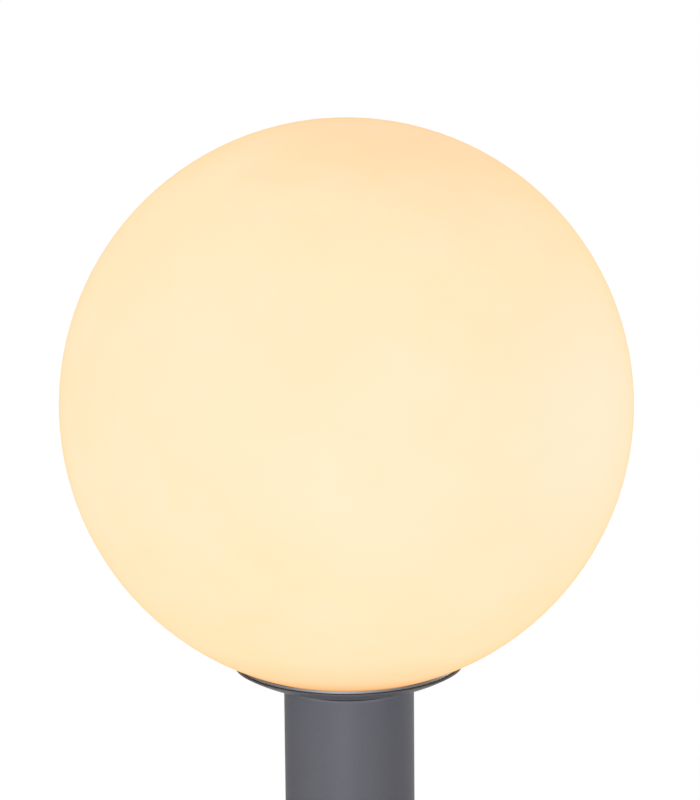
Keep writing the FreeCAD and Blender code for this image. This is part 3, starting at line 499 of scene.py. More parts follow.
@dataclass(frozen=True, kw_only=True)
class LitDiffuser(Surface):
    """The lamp's frosted dome, lit from inside a little unevenly."""

    name: str = "lamp_diffuser"
    colour: Colour = srgb(240, 236, 226)
    warm_light: Colour = srgb(255, 226, 178)
    glow: Grain = Grain(45, 2, 0.45, 0.75)
    roughness: float = 0.45
    grain: Grain = Grain(1400)
    grain_strength: float = 0.2
    grain_depth: float = 0.02 * MILLIMETRE
    cloud: Grain = Grain(1400, 2, 0.97, 1.03)
    gloss: Grain = Grain(1400, 2, -0.05, 0.05)

    def light(self, shader: Shader) -> None:
        """Lets the dome glow."""
        glow = shader.tint(self.warm_light, shader.vary(self.glow))
        shader.set(Emission_Color=glow, Emission_Strength=1.0)


@dataclass(frozen=True)
class StripedInsulation:
    """Two-coloured insulation, with the second colour in rings along the lead."""

    name: str
    colour: Colour
    stripe: Colour
    pitch: float = 12 * MILLIMETRE
    stripe_start: float = 0.6
    roughness: float = 0.45
    grain: Grain = Grain(1500)
    grain_strength: float = 0.2
    grain_depth: float = 0.02 * MILLIMETRE

    def build(self) -> bpy.types.Material:
        """Builds the insulation's surface.

        Returns:
            The material.
        """
        shader = Shader(self.name)
        _, height = shader.reach()
        phase = shader.math("FRACT", shader.math("MULTIPLY", height, 1 / self.pitch))
        share = shader.math("GREATER_THAN", phase, self.stripe_start)
        inputs = {"Factor": share, "A": (*self.colour, 1), "B": (*self.stripe, 1)}
        mix = shader.add("ShaderNodeMix", inputs, data_type="RGBA")
        shader.set(Base_Color=mix.outputs["Result"], Roughness=self.roughness)
        shader.bump(shader.noise(self.grain), self.grain_strength, self.grain_depth)
        return shader.material


@dataclass(frozen=True)
class GlowPatch:
    """A soft patch of the globe that is paler or warmer than its surroundings."""

    direction: Point
    reach: float
    lift: float


@dataclass(frozen=True, kw_only=True)
class OpalGlow(Surface):
    """Opal plastic lit from inside: warmer towards the crown and the seat, faintly mottled.

    Each level is a height in radii from the ball's centre, with the light's colour there.
    """

    centre: float
    radius: float
    name: str = "opal_glow"
    colour: Colour = (0.06, 0.055, 0.042)
    skin_tint: Colour = (1.0, 0.996, 0.988)
    specular: float = 0.0
    grain: Grain = Grain(55, 3)
    grain_strength: float = 0.15
    grain_depth: float = 0.1 * MILLIMETRE
    cloud: Grain = Grain(30, 3, 0.94, 1.06)
    gloss: Grain = Grain(120, 2, -0.05, 0.05)
    levels: tuple[tuple[float, Colour], ...] = (
        (-0.945, srgb(112, 104, 98)),
        (-0.926, srgb(241, 181, 119)),
        (-0.908, srgb(253, 203, 141)),
        (-0.861, srgb(255, 223, 173)),
        (-0.745, srgb(255, 234, 189)),
        (-0.5, srgb(255, 236, 195)),
        (0.0, srgb(255, 237, 198)),
        (0.4, srgb(255, 236, 196)),
        (0.62, srgb(255, 235, 193)),
        (0.79, srgb(255, 232, 190)),
        (0.9, srgb(255, 228, 184)),
        (1.0, srgb(255, 223, 178)),
    )
    patches: tuple[GlowPatch, ...] = (
        GlowPatch((0.02, -1.0, -0.06), 0.36, 0.032),
        GlowPatch((0.22, -0.95, -0.2), 0.24, 0.012),
        GlowPatch((0.17, -0.95, 0.28), 0.2, 0.014),
        GlowPatch((-0.47, -0.86, 0.24), 0.26, 0.022),
        GlowPatch((-0.3, -0.85, 0.5), 0.24, 0.012),
        GlowPatch((0.84, -0.53, 0.05), 0.48, 0.065),
        GlowPatch((-0.25, -0.9, -0.3), 0.26, -0.016),
        GlowPatch((0.42, -0.72, 0.5), 0.4, -0.012),
    )
    patch_fade: Pair = (0.25, 1.25)
    patch_fray: float = 0.35
    mottle: Grain = Grain(17, 12, -1.0, 1.0, (1, 1, 1.15), 0.62, 0.34, 0.66)
    mottle_lift: float = 0.026
    streaks: Grain = Grain(30, 8, -0.006, 0.006, (0.6, 0.6, 2.4), start=0.34, end=0.66)
    green_share: float = 0.4
    blue_share: float = 1.0
    lean: float = 0.14
    lean_zone: Pair = (0.1, 0.7)
    drift: Grain = Grain(13, 6, -0.05, 0.05, (1, 1, 2.2))
    drift_zone: Pair = (-0.88, -0.6)
    diffuse_share: float = 0.06

    def light(self, shader: Shader) -> None:
        """Lets the ball glow through a faintly tinted skin.

        Args:
            shader: The surface's shader.
        """
        shader.set(Emission_Color=self.glow(shader), Emission_Strength=1.0)
        shader.set(Coat_Weight=1.0, Coat_IOR=1.0, Coat_Roughness=self.roughness)
        shader.set(Coat_Tint=(*self.skin_tint, 1))

    def glow(self, shader: Shader) -> Socket:
        """Adds the light's colour, from the leaning height with soft patches laid over it.

        Args:
            shader: The surface's shader.

        Returns:
            The light's colour.
        """
        share = shader.math("ADD", shader.math("MULTIPLY", self.level(shader), 0.5), 0.5)
        ramp = shader.add("ShaderNodeValToRGB", {"Fac": share})
        while len(ramp.color_ramp.elements) < len(self.levels):
            ramp.color_ramp.elements.new(0.5)
        for element, (place, colour) in zip(ramp.color_ramp.elements, self.levels):
            element.position = place / 2 + 0.5
            element.color = (*(channel - self.diffuse_share * channel for channel in colour), 1)
        inputs = {0: ramp.outputs["Color"], 1: self.lift(shader)}
        return shader.add("ShaderNodeVectorMath", inputs, operation="ADD").outputs["Vector"]

    def level(self, shader: Shader) -> Socket:
        """Adds the height in radii, which leans to one side and drifts over the upper half.

        Args:
            shader: The surface's shader.

        Returns:
            The height, -1 at the ball's foot and 1 at its crown.
        """
        split = shader.add("ShaderNodeSeparateXYZ", {"Vector": shader.coordinates})
        above = shader.math("SUBTRACT", split.outputs["Z"], self.centre)
        level = shader.math("MULTIPLY", above, 1 / self.radius)
        across = shader.math("MULTIPLY", split.outputs["X"], self.lean / self.radius)
        upper = shader.remap(level, 0.0, 1.0, *self.lean_zone)
        seat = shader.remap(level, 0.0, 1.0, *self.drift_zone)
        leaning = shader.math("MULTIPLY", across, upper)
        drifting = shader.math("MULTIPLY", shader.vary(self.drift), seat)
        return shader.math("ADD", level, shader.math("ADD", leaning, drifting))

    def lift(self, shader: Shader) -> Socket:
        """Adds up the patches, the mottling and the streaks.

        Args:
            shader: The surface's shader.

        Returns:
            The colour that they add. Its red only makes up for the diffuse share.
        """
        cloud = shader.vary(self.mottle)
        mottle = shader.math("MULTIPLY", cloud, self.mottle_lift)
        amount = shader.math("ADD", mottle, shader.vary(self.streaks))
        for patch in self.patches:
            amount = shader.math("ADD", amount, self.patch(shader, patch, cloud))
        green = shader.math("MULTIPLY", amount, self.green_share)
        blue = shader.math("MULTIPLY", amount, self.blue_share)
        inputs = {"X": self.diffuse_share, "Y": green, "Z": blue}
        return shader.add("ShaderNodeCombineXYZ", inputs).outputs["Vector"]

    def patch(self, shader: Shader, patch: GlowPatch, cloud: Socket) -> Socket:
        """Adds one soft patch whose edge is frayed by the mottling.

        Args:
            shader: The surface's shader.
            patch: The patch.
            cloud: The mottling, from -1 to 1.

        Returns:
            What the patch adds, at most its own lift.
        """
        middle = Vector(patch.direction).normalized() * self.radius + Vector((0, 0, self.centre))
        inputs = {0: shader.coordinates, 1: middle}
        distance = shader.add("ShaderNodeVectorMath", inputs, operation="DISTANCE").outputs["Value"]
        away = shader.math("MULTIPLY", distance, 1 / (self.radius * patch.reach))
        frayed = shader.math("ADD", away, shader.math("MULTIPLY", cloud, self.patch_fray))
        return shader.remap(frayed, patch.lift, 0.0, *self.patch_fade, "SMOOTHSTEP")


class MeshBuilder:
    """Collects vertices and faces and turns them into a piece."""

    SHARP_ANGLE: float = math.radians(38)

    def __init__(self, name: str) -> None:
        """Starts an empty mesh.

        Args:
            name: The name of the piece.
        """
        self.name = name
        self.vertices: list[Point] = []
        self.faces: list[tuple[int, ...]] = []

    def row(self, points: list[Point]) -> list[int]:
        """Adds a row of vertices and returns their indices."""
        self.vertices.extend(points)
        return list(range(len(self.vertices) - len(points), len(self.vertices)))

    def circle(self, radius: float, height: float, sides: int) -> list[int]:
        """Adds a level ring of vertices round the pole's axis and returns their indices."""
        return self.row([around_axis(radius, FULL_TURN * side / sides, height) for side in range(sides)])

    def bridge(self, lower: list[int], upper: list[int]) -> None:
        """Joins two closed rows of vertices with four-sided faces.

        Args:
            lower: The first row.
            upper: The second row.
        """
        count = len(lower)
        for index in range(count):
            after = (index + 1) % count
            self.faces.append((lower[index], lower[after], upper[after], upper[index]))

    def loft(self, rows: list[list[int]]) -> None:
        """Joins each row to the next and closes the first and the last with a face.

        Args:
            rows: The rows, each closed on itself.
        """
        for lower, upper in zip(rows, rows[1:]):
            self.bridge(lower, upper)
        for end in (rows[0], rows[-1]):
            self.faces.append(tuple(end))

    def mesh(self) -> bpy.types.Mesh:
        """Makes the mesh, with its faces turned outwards and its sharp edges marked.

        Returns:
            The mesh.
        """
        mesh = bpy.data.meshes.new(self.name)
        mesh.from_pydata(self.vertices, [], self.faces)
        shape = bmesh.new()
        shape.from_mesh(mesh)
        bmesh.ops.recalc_face_normals(shape, faces=shape.faces)
        shape.to_mesh(mesh)
        shape.free()
        mesh.shade_smooth()
        mesh.set_sharp_from_angle(angle=self.SHARP_ANGLE)
        return mesh

    def piece(self, body: Body, slot: str, finishes: Finishes) -> bpy.types.Object:
        """Makes the object, dresses it and lets it ride on a body.

        Args:
            body: The body that carries the piece.
            slot: Its material slot.
            finishes: The finishes of the light.

        Returns:
            The new object.
        """
        mesh = self.mesh()
        mesh.materials.append(finishes.slots[slot])
        piece = bpy.data.objects.new(self.name, mesh)
        bpy.context.scene.collection.objects.link(piece)
        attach(piece, body.value)
        LOG.info("added %s on %s, %d faces", self.name, body.value, len(mesh.polygons))
        return piece


@dataclass
class Detail:
    """A small form that becomes one piece."""

    name: str

    def shape(self, builder: MeshBuilder) -> None:
        """Adds the form's faces to a mesh, as each kind of detail defines it."""
        raise NotImplementedError

    def build(self, body: Body, slot: str, finishes: Finishes) -> bpy.types.Object:
        """Builds the piece.

        Args:
            body: The body that carries it.
            slot: Its material slot.
            finishes: The finishes of the light.

        Returns:
            The piece.
        """
        builder = MeshBuilder(self.name)
        self.shape(builder)
        return builder.piece(body, slot, finishes)


@dataclass
class Thread(Detail):
    """A threaded sleeve, closed by its plain bore and its ends, with its crests on its own radius."""

    crest: float
    wall: float
    low: float
    high: float
    pitch: float
    depth: float
    sides: int
    rows_per_turn: int = 8
    foot: Profile = field(default_factory=list)

    def shape(self, builder: MeshBuilder) -> None:
        """Adds the sleeve's rings in order and joins the last to the first.

        Args:
            builder: The mesh that the sleeve is added to.
        """
        back = self.crest - self.wall
        foot = self.foot or [(back, self.low)]
        rows = [builder.circle(radius, height, self.sides) for radius, height in foot]
        length = self.high - self.low
        count = round(length / self.pitch * self.rows_per_turn)
        for index in range(count + 1):
            rows.append(self.turn(builder, self.low + length * index / count))
        rows.append(builder.circle(back, self.high, self.sides))
        if self.foot:
            rows.append(builder.circle(back, self.low, self.sides))
        for lower, upper in zip(rows, rows[1:] + rows[:1]):
            builder.bridge(lower, upper)

    def turn(self, builder: MeshBuilder, height: float) -> list[int]:
        """Adds one ring of the thread and returns its indices."""
        angles = [FULL_TURN * step / self.sides for step in range(self.sides)]
        return builder.row([around_axis(self.radius(height, angle), angle, height) for angle in angles])

    def radius(self, height: float, angle: float) -> float:
        """Works out the threaded radius, which fades to plain at both ends.

        Args:
            height: The height of the point.
            angle: Its angle round the axis.

        Returns:
            The radius there.
        """
        phase = (height - self.low) / self.pitch - angle / FULL_TURN
        wave = 0.5 - 0.5 * math.cos(FULL_TURN * phase)
        margin = min(height - self.low, self.high - height) / self.pitch
        return self.crest - self.depth * wave * max(0.0, min(1.0, margin))


@dataclass
class ThreadRidge(Detail):
    """A coarse moulded or cast thread: one ridge that winds round a sleeve and fades at both ends."""

    radius: float
    height: float
    low: float
    high: float
    side: Side
    pitch: float = 4.0 * MILLIMETRE
    base_width: float = 2.2 * MILLIMETRE
    crest_width: float = 1.0 * MILLIMETRE
    end_margin: float = 1.2 * MILLIMETRE
    root: float = 0.3 * MILLIMETRE
    run_in: float = 0.08
    least_rise: float = 0.02
    steps_per_turn: int = 96

    @property
    def start(self) -> float:
        """The height of the ridge's middle at its lower end."""
        return self.low + self.end_margin + self.base_width / 2

    @property
    def turns(self) -> float:
        """How many times the ridge winds round the sleeve."""
        return (self.high - self.end_margin - self.base_width / 2 - self.start) / self.pitch

    def shape(self, builder: MeshBuilder) -> None:
        """Adds the ridge, section by section.

        Args:
            builder: The mesh that the ridge is added to.
        """
        count = round(self.turns * self.steps_per_turn)
        builder.loft([self.section(builder, self.turns * index / count) for index in range(count + 1)])

    def section(self, builder: MeshBuilder, turn: float) -> list[int]:
        """Adds the ridge's cross-section at a number of turns from its start.

        Args:
            builder: The mesh that the section is added to.
            turn: How many turns the section is along the ridge.

        Returns:
            The section's vertices.
        """
        rise = min(1.0, turn / self.run_in, (self.turns - turn) / self.run_in)
        proud = self.radius + self.side.value * self.height * max(rise, self.least_rise)
        sunk = self.radius - self.side.value * self.root
        middle = self.start + turn * self.pitch
        base = self.base_width / 2
        crest = self.crest_width / 2
        outline = (
            (sunk, -base),
            (self.radius, -base),
            (proud, -crest),
            (proud, crest),
            (self.radius, base),
            (sunk, base),
        )
        return builder.row([around_axis(reach, turn * FULL_TURN, middle + up) for reach, up in outline])


@dataclass
class Ribs(Detail):
    """Upright ribs that are spaced evenly round a turned piece and follow its profile."""

    profile: Profile
    count: int
    width: float
    proud: float
    root: float = 0.4 * MILLIMETRE
    end_share: float = 0.05
    shoulder_height: float = 0.8
    shoulder_width: float = 0.6

    def shape(self, builder: MeshBuilder) -> None:
        """Adds all ribs to a mesh."""
        for index in range(self.count):
            self.rib(builder, FULL_TURN * index / self.count)

    def rib(self, builder: MeshBuilder, angle: float) -> None:
        """Adds one rib, with rounded sides and ends that fade into the piece.

        Args:
            builder: The mesh that the rib is added to.
            angle: Where the rib stands round the axis.
        """
        ends = (0, len(self.profile) - 1)
        rows = []
        for place, (radius, height) in enumerate(self.profile):
            crest = self.proud * (self.end_share if place in ends else 1.0)
            shoulder = crest * self.shoulder_height
            half = self.width / 2 / radius
            outline = (
                (-self.root, -1.0),
                (0.0, -1.0),
                (shoulder, -self.shoulder_width),
                (crest, 0.0),
                (shoulder, self.shoulder_width),
                (0.0, 1.0),
                (-self.root, 1.0),
            )
            points = [around_axis(radius + rise, angle + half * share, height) for rise, share in outline]
            rows.append(builder.row(points))
        builder.loft(rows)


@dataclass
class Finishes:
    """Every finish of the light, built once and shared by the sub-assemblies."""

    coat: Colour = (0.127, 0.129, 0.152)
    # Painted cool light on the dish rim's upward face, a lighter, bluer tone that cancels the warm glow the
    # globe casts there.
    rim_painted_light: Colour = (0.15, 0.2, 0.295)
    rim_width: float = 4.0 * MILLIMETRE
    # Painted highlight on the pole's upward chamfer, which the dish above shades.
    chamfer_painted_highlight: Colour = (0.25, 0.252, 0.28)
    chamfer_width: float = 1.0 * MILLIMETRE
    slots: dict[str, bpy.types.Material] = field(default_factory=dict)

    def build(self) -> None:
        """Builds all materials, by the record's material slots."""
        finishes = (
            Moulded("neck_plastic", srgb(236, 233, 224), 0.4),
            TurnedMetal("bright_aluminium", srgb(147, 151, 159), 0.6),
            DullMetal("cast_aluminium", srgb(172, 173, 175)),
            TurnedMetal("stainless", srgb(178, 178, 180), 0.3),
            DullMetal("zinc_steel", srgb(184, 187, 192), 0.35, Grain(500)),
            Moulded("rubber", srgb(26, 26, 28), 0.8, Grain(900), specular=0.02),
            Moulded("gland_plastic", srgb(128, 130, 132), 0.5),
            Moulded("terminal_plastic", srgb(222, 219, 208), 0.45),
            DullMetal("tinned_brass", srgb(196, 192, 178), 0.35),
            TurnedMetal("contact_brass", srgb(205, 172, 104), 0.25),
            Moulded("holder_plastic", srgb(30, 30, 31), 0.4, specular=0.3),
            Moulded("ceramic_insert", srgb(235, 232, 222), 0.6, Grain(700)),
            Moulded("black_glass", srgb(16, 16, 20), 0.12),
            TurnedMetal("lamp_cap_metal", srgb(196, 197, 199), 0.25),
            Moulded("lamp_plastic", srgb(236, 236, 232), 0.4),
            Moulded("board", srgb(238, 238, 234), 0.35),
            LitDiffuser(),
            Moulded("lead_brown", srgb(92, 54, 34), 0.45),
            Moulded("lead_blue", srgb(42, 92, 168), 0.45),
            StripedInsulation("lead_green_yellow", srgb(44, 128, 52), srgb(222, 200, 44)),
        )
        for finish in finishes:
            self.slots[finish.name] = finish.build()
        self.slots["paint"] = PowderCoat(colour=self.coat, painted_lights=self.painted_edge_lights()).build()
        low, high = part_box("globe")
        radius = (high.x - low.x) / 2
        self.slots["opal"] = OpalGlow(centre=high.z - radius, radius=radius).build()

    def painted_edge_lights(self) -> tuple[PaintedEdgeLight, ...]:
        """Finds the dish's rim and the pole's chamfer, whose upward faces get painted light.

        Returns:
            The two edges.
        """
        dish_low, dish_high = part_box("collar_dish")
        pole_low, pole_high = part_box("pole")
        rim = (dish_high.x - dish_low.x) / 2
        edge = (pole_high.x - pole_low.x) / 2
        low = pole_high.z - self.chamfer_width
        return (
            PaintedEdgeLight(self.rim_painted_light, rim - self.rim_width, rim + self.rim_width, dish_low.z),
            PaintedEdgeLight(self.chamfer_painted_highlight, edge - self.chamfer_width, edge + self.chamfer_width, low),
        )

    def dress_nodes(self, frame: dict) -> None:
        """Gives every carried-over node the material of its slot.

        Args:
            frame: The loaded frame.
        """
        for entry in frame["record"]["subparts"]:
            node = frame["nodes"][entry["node"]]
            material = self.slots[entry["material_slot"]]
            node.data.materials.clear()
            node.data.materials.append(material)
            LOG.info("dressed %s with %s", entry["node"], material.name)


@dataclass
class GlobeSeat:
    """The coarse threads of the globe's neck and of the gallery that it screws onto."""

    finishes: Finishes
    clearance: float = 0.3 * MILLIMETRE
    shelf: float = 3.6 * MILLIMETRE
    gallery_probe: float = 2.0 * MILLIMETRE
    neck_probe: float = 0.01 * MILLIMETRE

    def build(self) -> None:
        """Adds the ridges of both threads, each standing half the free gap proud."""
        gallery_low, gallery_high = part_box("threaded_gallery")
        neck_low, neck_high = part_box("globe_neck")
        gallery = max(self.reaches("threaded_gallery", gallery_high.z - self.gallery_probe))
        bore = min(self.reaches("globe_neck", neck_high.z - self.neck_probe))
        height = (bore - gallery - self.clearance) / 2
        shelf = gallery_low.z + self.shelf
        outer = ThreadRidge("gallery_thread", gallery, height, shelf, gallery_high.z, Side.OUTSIDE)
        outer.build(Body.PEDESTAL, "cast_aluminium", self.finishes)
        inner = ThreadRidge("neck_thread", bore, height, neck_low.z, neck_high.z, Side.INSIDE)
        inner.build(Body.GLOBE, "neck_plastic", self.finishes)
        LOG.info("built the globe's seat, with ridges %.2f mm high", height / MILLIMETRE)

    def reaches(self, name: str, level: float) -> list[float]:
        """Measures a node near its top.

        Args:
            name: The node's name.
            level: The height from which its vertices count.

        Returns:
            How far each of these vertices is from the pole's axis.
        """
        vertices = bpy.data.objects[name].data.vertices
        return [math.hypot(vertex.co.x, vertex.co.y) for vertex in vertices if vertex.co.z >= level]


@dataclass
class LampHolder:
    """The holder's grip ribs and the threaded tube below it."""

    finishes: Finishes
    rib_count: int = 36
    rib_width: float = 1.5 * MILLIMETRE
    rib_proud: float = 0.35 * MILLIMETRE
    rib_low_margin: float = 3.5 * MILLIMETRE
    rib_high_margin: float = 0.875 * MILLIMETRE
    rib_end_share: float = 1 / 12
    tube_pitch: float = 1.0 * MILLIMETRE
    tube_depth: float = 0.4 * MILLIMETRE
    tube_wall: float = 1.4 * MILLIMETRE
    tube_sides: int = 36

    def build(self) -> None:
        """Builds every piece of the holder."""
        self.grip()
        self.tube()
        LOG.info("built the lamp holder")

    def grip(self) -> None:
        """Adds grip ribs round the holder's cap."""
        low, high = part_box("holder_cap")
        radius = (high.x - low.x) / 2
        bottom = low.z + self.rib_low_margin
        top = high.z - self.rib_high_margin
        profile = upright(radius, bottom, top, (top - bottom) * self.rib_end_share)
        ribs = Ribs("holder_grip_ribs", profile, self.rib_count, self.rib_width, self.rib_proud)
        ribs.build(Body.PEDESTAL, "holder_plastic", self.finishes)

    def tube(self) -> None:
        """Replaces the plain tube by one with its thread cut."""
        low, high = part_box("threaded_tube")
        thread = Thread(
            "cut_threaded_tube",
            crest=(high.x - low.x) / 2,
            wall=self.tube_wall,
            low=low.z,
            high=high.z,
            pitch=self.tube_pitch,
            depth=self.tube_depth,
            sides=self.tube_sides,
        )
        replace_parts(thread.build(Body.PEDESTAL, "zinc_steel", self.finishes), "threaded_tube")


@dataclass
class Lamp:
    """The lamp's rolled screw cap, the fins on its body and the light sources on its board."""

    finishes: Finishes
    cap_pitch: float = 3.629 * MILLIMETRE
    cap_depth: float = 0.9 * MILLIMETRE
    cap_wall: float = 1.4 * MILLIMETRE
    cap_sides: int = 64
    cap_taper: float = 2.0 * MILLIMETRE
    cap_inner_taper: float = 4.0 * MILLIMETRE
    cap_foot_radius: float = 9.0 * MILLIMETRE
    cap_mouth_radius: float = 4.5 * MILLIMETRE
    fin_count: int = 28
    fin_width: float = 1.1 * MILLIMETRE
    fin_proud: float = 0.5 * MILLIMETRE
    fin_gap: float = 0.4 * MILLIMETRE
    flare_bow: float = 1 / 8
    flare_steps: int = 24
    flare_skip_low: int = 3
    flare_skip_high: int = 2
    chip_rings: tuple[tuple[int, float], ...] = ((6, 0.36), (12, 0.78))
    chip_size: float = 3.0 * MILLIMETRE
    chip_height: float = 0.8 * MILLIMETRE
    chip_foot: float = 0.1 * MILLIMETRE
    chip_outline: tuple[Pair, ...] = ((0.6, 1.0), (1.0, 0.88), (1.0, 0.66), (0.7, 0.6))

    def build(self) -> None:
        """Builds every piece of the lamp."""
        self.cap()
        self.fins()
        self.chips()
        LOG.info("built the lamp")

    def cap(self) -> None:
        """Replaces the plain cap by one with its round thread rolled in."""
        low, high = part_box("lamp_cap")
        radius = (high.x - low.x) / 2
        shoulder = low.z + self.cap_taper
        inner = radius - self.cap_wall - self.cap_inner_taper
        thread = Thread(
            "rolled_lamp_cap",
            crest=radius,
            wall=self.cap_wall,
            low=shoulder,
            high=high.z,
            pitch=self.cap_pitch,
            depth=self.cap_depth,
            sides=self.cap_sides,
            foot=[(inner, shoulder), (self.cap_mouth_radius, low.z), (self.cap_foot_radius, low.z)],
        )
        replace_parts(thread.build(Body.LAMP, "lamp_cap_metal", self.finishes), "lamp_cap")

    def fins(self) -> None:
        """Adds shallow cooling fins along the body's flare."""
        low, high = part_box("lamp_body")
        cap_low, cap_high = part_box("lamp_cap")
        top = (high.x - low.x) / 2
        bottom = (cap_high.x - cap_low.x) / 2 + self.fin_gap
        middle = ((top + bottom) / 2 + (top - bottom) * self.flare_bow, (low.z + high.z) / 2)
        curve = arc_through((bottom, low.z), middle, (top, high.z), self.flare_steps)
        profile = curve[self.flare_skip_low : -self.flare_skip_high]
        ribs = Ribs("lamp_body_fins", profile, self.fin_count, self.fin_width, self.fin_proud)
        ribs.build(Body.LAMP, "lamp_plastic", self.finishes)

    def chips(self) -> None:
        """Adds the light sources on the board, each a block with sloped sides and a sunk face."""
        low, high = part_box("lamp_led_board")
        board = (high.x - low.x) / 2
        builder = MeshBuilder("lamp_light_sources")
        for count, share in self.chip_rings:
            for index in range(count):
                self.chip(builder, board * share, FULL_TURN * index / count, high.z)
        builder.piece(Body.LAMP, "board", self.finishes)

    def chip(self, builder: MeshBuilder, radius: float, angle: float, level: float) -> None:
        """Adds one light source.

        Args:
            builder: The mesh that it is added to.
            radius: Its distance from the axis.
            angle: Its angle round the axis.
            level: The height of the board's face.
        """
        centre = Vector(around_axis(radius, angle, level))
        turn = Matrix.Rotation(angle, 3, "Z")
        half = self.chip_size / 2
        corners = [(-half, -half), (half, -half), (half, half), (-half, half)]
        outline = [(-self.chip_foot, 1.0)]
        outline += [(self.chip_height * rise, share) for rise, share in self.chip_outline]
        rows = []
        for height, share in outline:
            points = [centre + turn @ Vector((x * share, y * share, height)) for x, y in corners]
            rows.append(builder.row([tuple(point) for point in points]))
        builder.loft(rows)


@dataclass
class CableGland:
    """The gland's ribbed clamping cap."""

    finishes: Finishes
    rib_count: int = 18
    rib_width: float = 1.6 * MILLIMETRE
    rib_proud: float = 0.5 * MILLIMETRE
    rib_end: float = 0.6 * MILLIMETRE
    top_bevel: float = 2.4 * MILLIMETRE

    def build(self) -> None:
        """Adds the grip ribs round the clamping cap."""
        low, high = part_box("gland_cap")
        bottom = low.z + self.rib_end / 2
        profile = upright((high.x - low.x) / 2, bottom, high.z - self.top_bevel, self.rib_end)
        ribs = Ribs("gland_cap_ribs", profile, self.rib_count, self.rib_width, self.rib_proud)
        ribs.build(Body.PEDESTAL, "gland_plastic", self.finishes)
        LOG.info("built the cable gland")


@dataclass(frozen=True)
class SoftLight:
    """A soft light: its name, place, width, height and power in watts."""

    name: str
    place: Point
    width: float
    height: float
    power: float

    def build(self, target: Vector) -> None:
        """Adds the light.

        Args:
            target: The point that the light faces.
        """
        data = bpy.data.lights.new(self.name, "AREA")
        data.shape = "RECTANGLE"
        data.size = self.width
        data.size_y = self.height
        data.energy = self.power
        light = bpy.data.objects.new(self.name, data)
        light.rotation_euler = (target - Vector(self.place)).to_track_quat("-Z", "Y").to_euler()
        light.location = self.place
        bpy.context.scene.collection.objects.link(light)


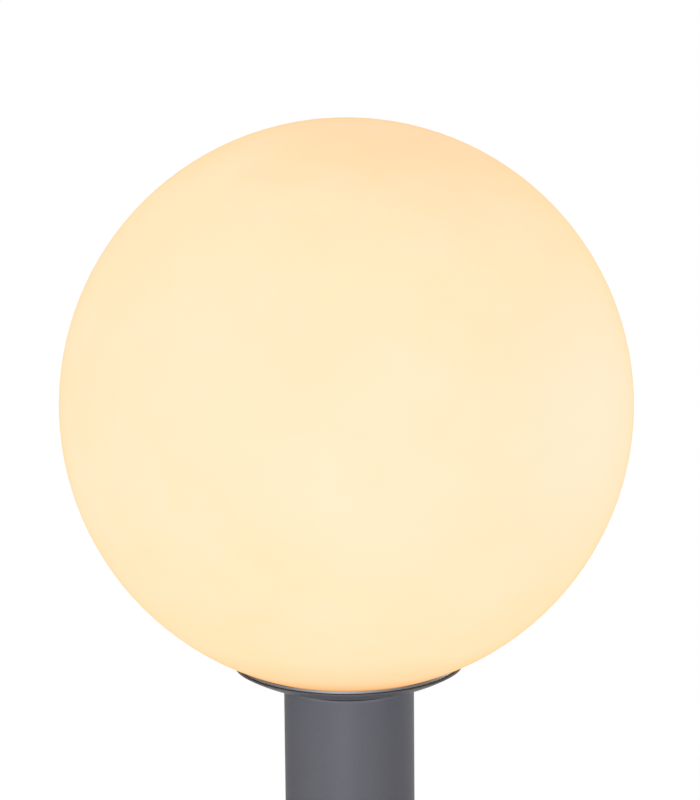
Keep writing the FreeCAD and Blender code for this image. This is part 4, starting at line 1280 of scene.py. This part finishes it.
@dataclass
class Studio:
    """The floor, the sky, the lights and the camera.

    The focal length and the aim are in pixels of the picture, whose height is given too.
    """

    ball_centre: float
    half_floor: float = 15.0
    fade_start: float = 0.12
    fade_end: float = 0.5
    floor_colour: Colour = (0.86, 0.86, 0.86)
    floor_roughness: float = 0.8
    floor_specular: float = 0.1
    floor_glow: float = 0.58
    ambient: float = 0.1
    lights: tuple[SoftLight, ...] = (
        SoftLight("key", (-0.48, -2.6, 0.42), 0.7, 0.7, 51.0),
        SoftLight("top", (0.0, 0.0, 2.3), 1.8, 1.8, 26.0),
        SoftLight("rim", (1.58, 1.32, 0.08), 0.5, 0.12, 20.0),
    )
    focal_pixels: float = 3305.76
    image_height: float = 800.0
    sensor: float = 36.0
    far_clip: float = 100.0
    distance: float = 1.5
    elevation: float = math.radians(11.557)
    roll: float = math.radians(-0.526)
    aim_right: float = -3.597
    aim_up: float = 4.781

    def build(self) -> None:
        """Builds the whole studio."""
        self.floor()
        self.world()
        for light in self.lights:
            light.build(Vector((0, 0, self.ball_centre)))
        self.camera()
        LOG.info("built the studio")

    def floor(self) -> None:
        """Lays a pale floor that keeps the shadow near the base and is plain white further off."""
        half = self.half_floor
        mesh = bpy.data.meshes.new("floor")
        corners = [(-half, -half, 0.0), (half, -half, 0.0), (half, half, 0.0), (-half, half, 0.0)]
        mesh.from_pydata(corners, [], [(0, 1, 2, 3)])
        mesh.materials.append(self.floor_material())
        piece = bpy.data.objects.new("floor", mesh)
        bpy.context.scene.collection.objects.link(piece)

    def floor_material(self) -> bpy.types.Material:
        """Builds the floor's surface, white to the camera beyond the object's shadow.

        Returns:
            The material.
        """
        shader = Shader("floor")
        seen = background_rays(shader.tree)
        glow = shader.math("MULTIPLY", seen, self.floor_glow)
        shader.set(Base_Color=(*self.floor_colour, 1), Roughness=self.floor_roughness)
        shader.set(Specular_IOR_Level=self.floor_specular)
        shader.set(Emission_Color=(1, 1, 1, 1), Emission_Strength=glow)
        distance, _ = shader.reach()
        fade = shader.remap(distance, 0.0, 1.0, self.fade_start, self.fade_end, "SMOOTHSTEP")
        share = shader.math("MULTIPLY", fade, seen)
        white = shader.add("ShaderNodeEmission", {}).outputs["Emission"]
        inputs = {"Fac": share, 1: shader.principled.outputs["BSDF"], 2: white}
        mix = shader.add("ShaderNodeMixShader", inputs)
        shader.fill(shader.output, {"Surface": mix.outputs["Shader"]})
        return shader.material

    def world(self) -> None:
        """Sets a plain soft sky that shows as white."""
        world = bpy.data.worlds.new("studio")
        world.use_nodes = True
        tree = world.node_tree
        background = tree.nodes["Background"]
        strength = tree.nodes.new("ShaderNodeMapRange")
        strength.inputs["To Min"].default_value = self.ambient
        strength.inputs["To Max"].default_value = 1.0
        tree.links.new(background_rays(tree), strength.inputs["Value"])
        tree.links.new(strength.outputs["Result"], background.inputs["Strength"])
        background.inputs["Color"].default_value = (1, 1, 1, 1)
        bpy.context.scene.world = world

    def camera(self) -> None:
        """Places the camera as the photograph was taken."""
        data = bpy.data.cameras.new("camera")
        data.sensor_width = self.sensor
        data.lens = self.focal_pixels * self.sensor / self.image_height
        data.clip_end = self.far_clip
        offset = Vector((0, -math.cos(self.elevation), math.sin(self.elevation))) * self.distance
        forward = -offset.normalized()
        right = Vector((1, 0, 0))
        turn = Matrix.Rotation(math.atan(self.aim_right / self.focal_pixels), 3, right.cross(forward))
        forward = turn @ forward
        right = turn @ right
        forward = Matrix.Rotation(math.atan(self.aim_up / self.focal_pixels), 3, right) @ forward
        up = right.cross(forward)
        side = right * math.cos(self.roll) + up * math.sin(self.roll)
        top = up * math.cos(self.roll) - right * math.sin(self.roll)
        basis = Matrix((side, top, -forward)).transposed()
        camera = bpy.data.objects.new("camera", data)
        camera.matrix_world = Matrix.Translation(offset + Vector((0, 0, self.ball_centre))) @ basis.to_4x4()
        bpy.context.scene.collection.objects.link(camera)
        bpy.context.scene.camera = camera


def background_rays(tree: bpy.types.NodeTree) -> Socket:
    """Tells rays that show the background from rays that only carry light.

    Args:
        tree: The node tree of the floor or the world.

    Returns:
        1 for rays that show it, and 0 for the others.
    """
    path = tree.nodes.new("ShaderNodeLightPath")
    seen = path.outputs["Is Camera Ray"]
    for name in ("Is Glossy Ray", "Is Transmission Ray"):
        join = tree.nodes.new("ShaderNodeMath")
        join.operation = "MAXIMUM"
        tree.links.new(seen, join.inputs[0])
        tree.links.new(path.outputs[name], join.inputs[1])
        seen = join.outputs["Value"]
    return seen


def main() -> None:
    """Builds and dresses the light, sub-assembly by sub-assembly."""
    logging.basicConfig(level=logging.INFO)
    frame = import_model()
    bpy.context.scene.view_settings.view_transform = "Standard"
    finishes = Finishes()
    finishes.build()
    finishes.dress_nodes(frame)
    for assembly in (GlobeSeat(finishes), LampHolder(finishes), Lamp(finishes), CableGland(finishes)):
        assembly.build()
    low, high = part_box("globe")
    Studio(ball_centre=high.z - (high.x - low.x) / 2).build()


if __name__ == "__main__":
    main()
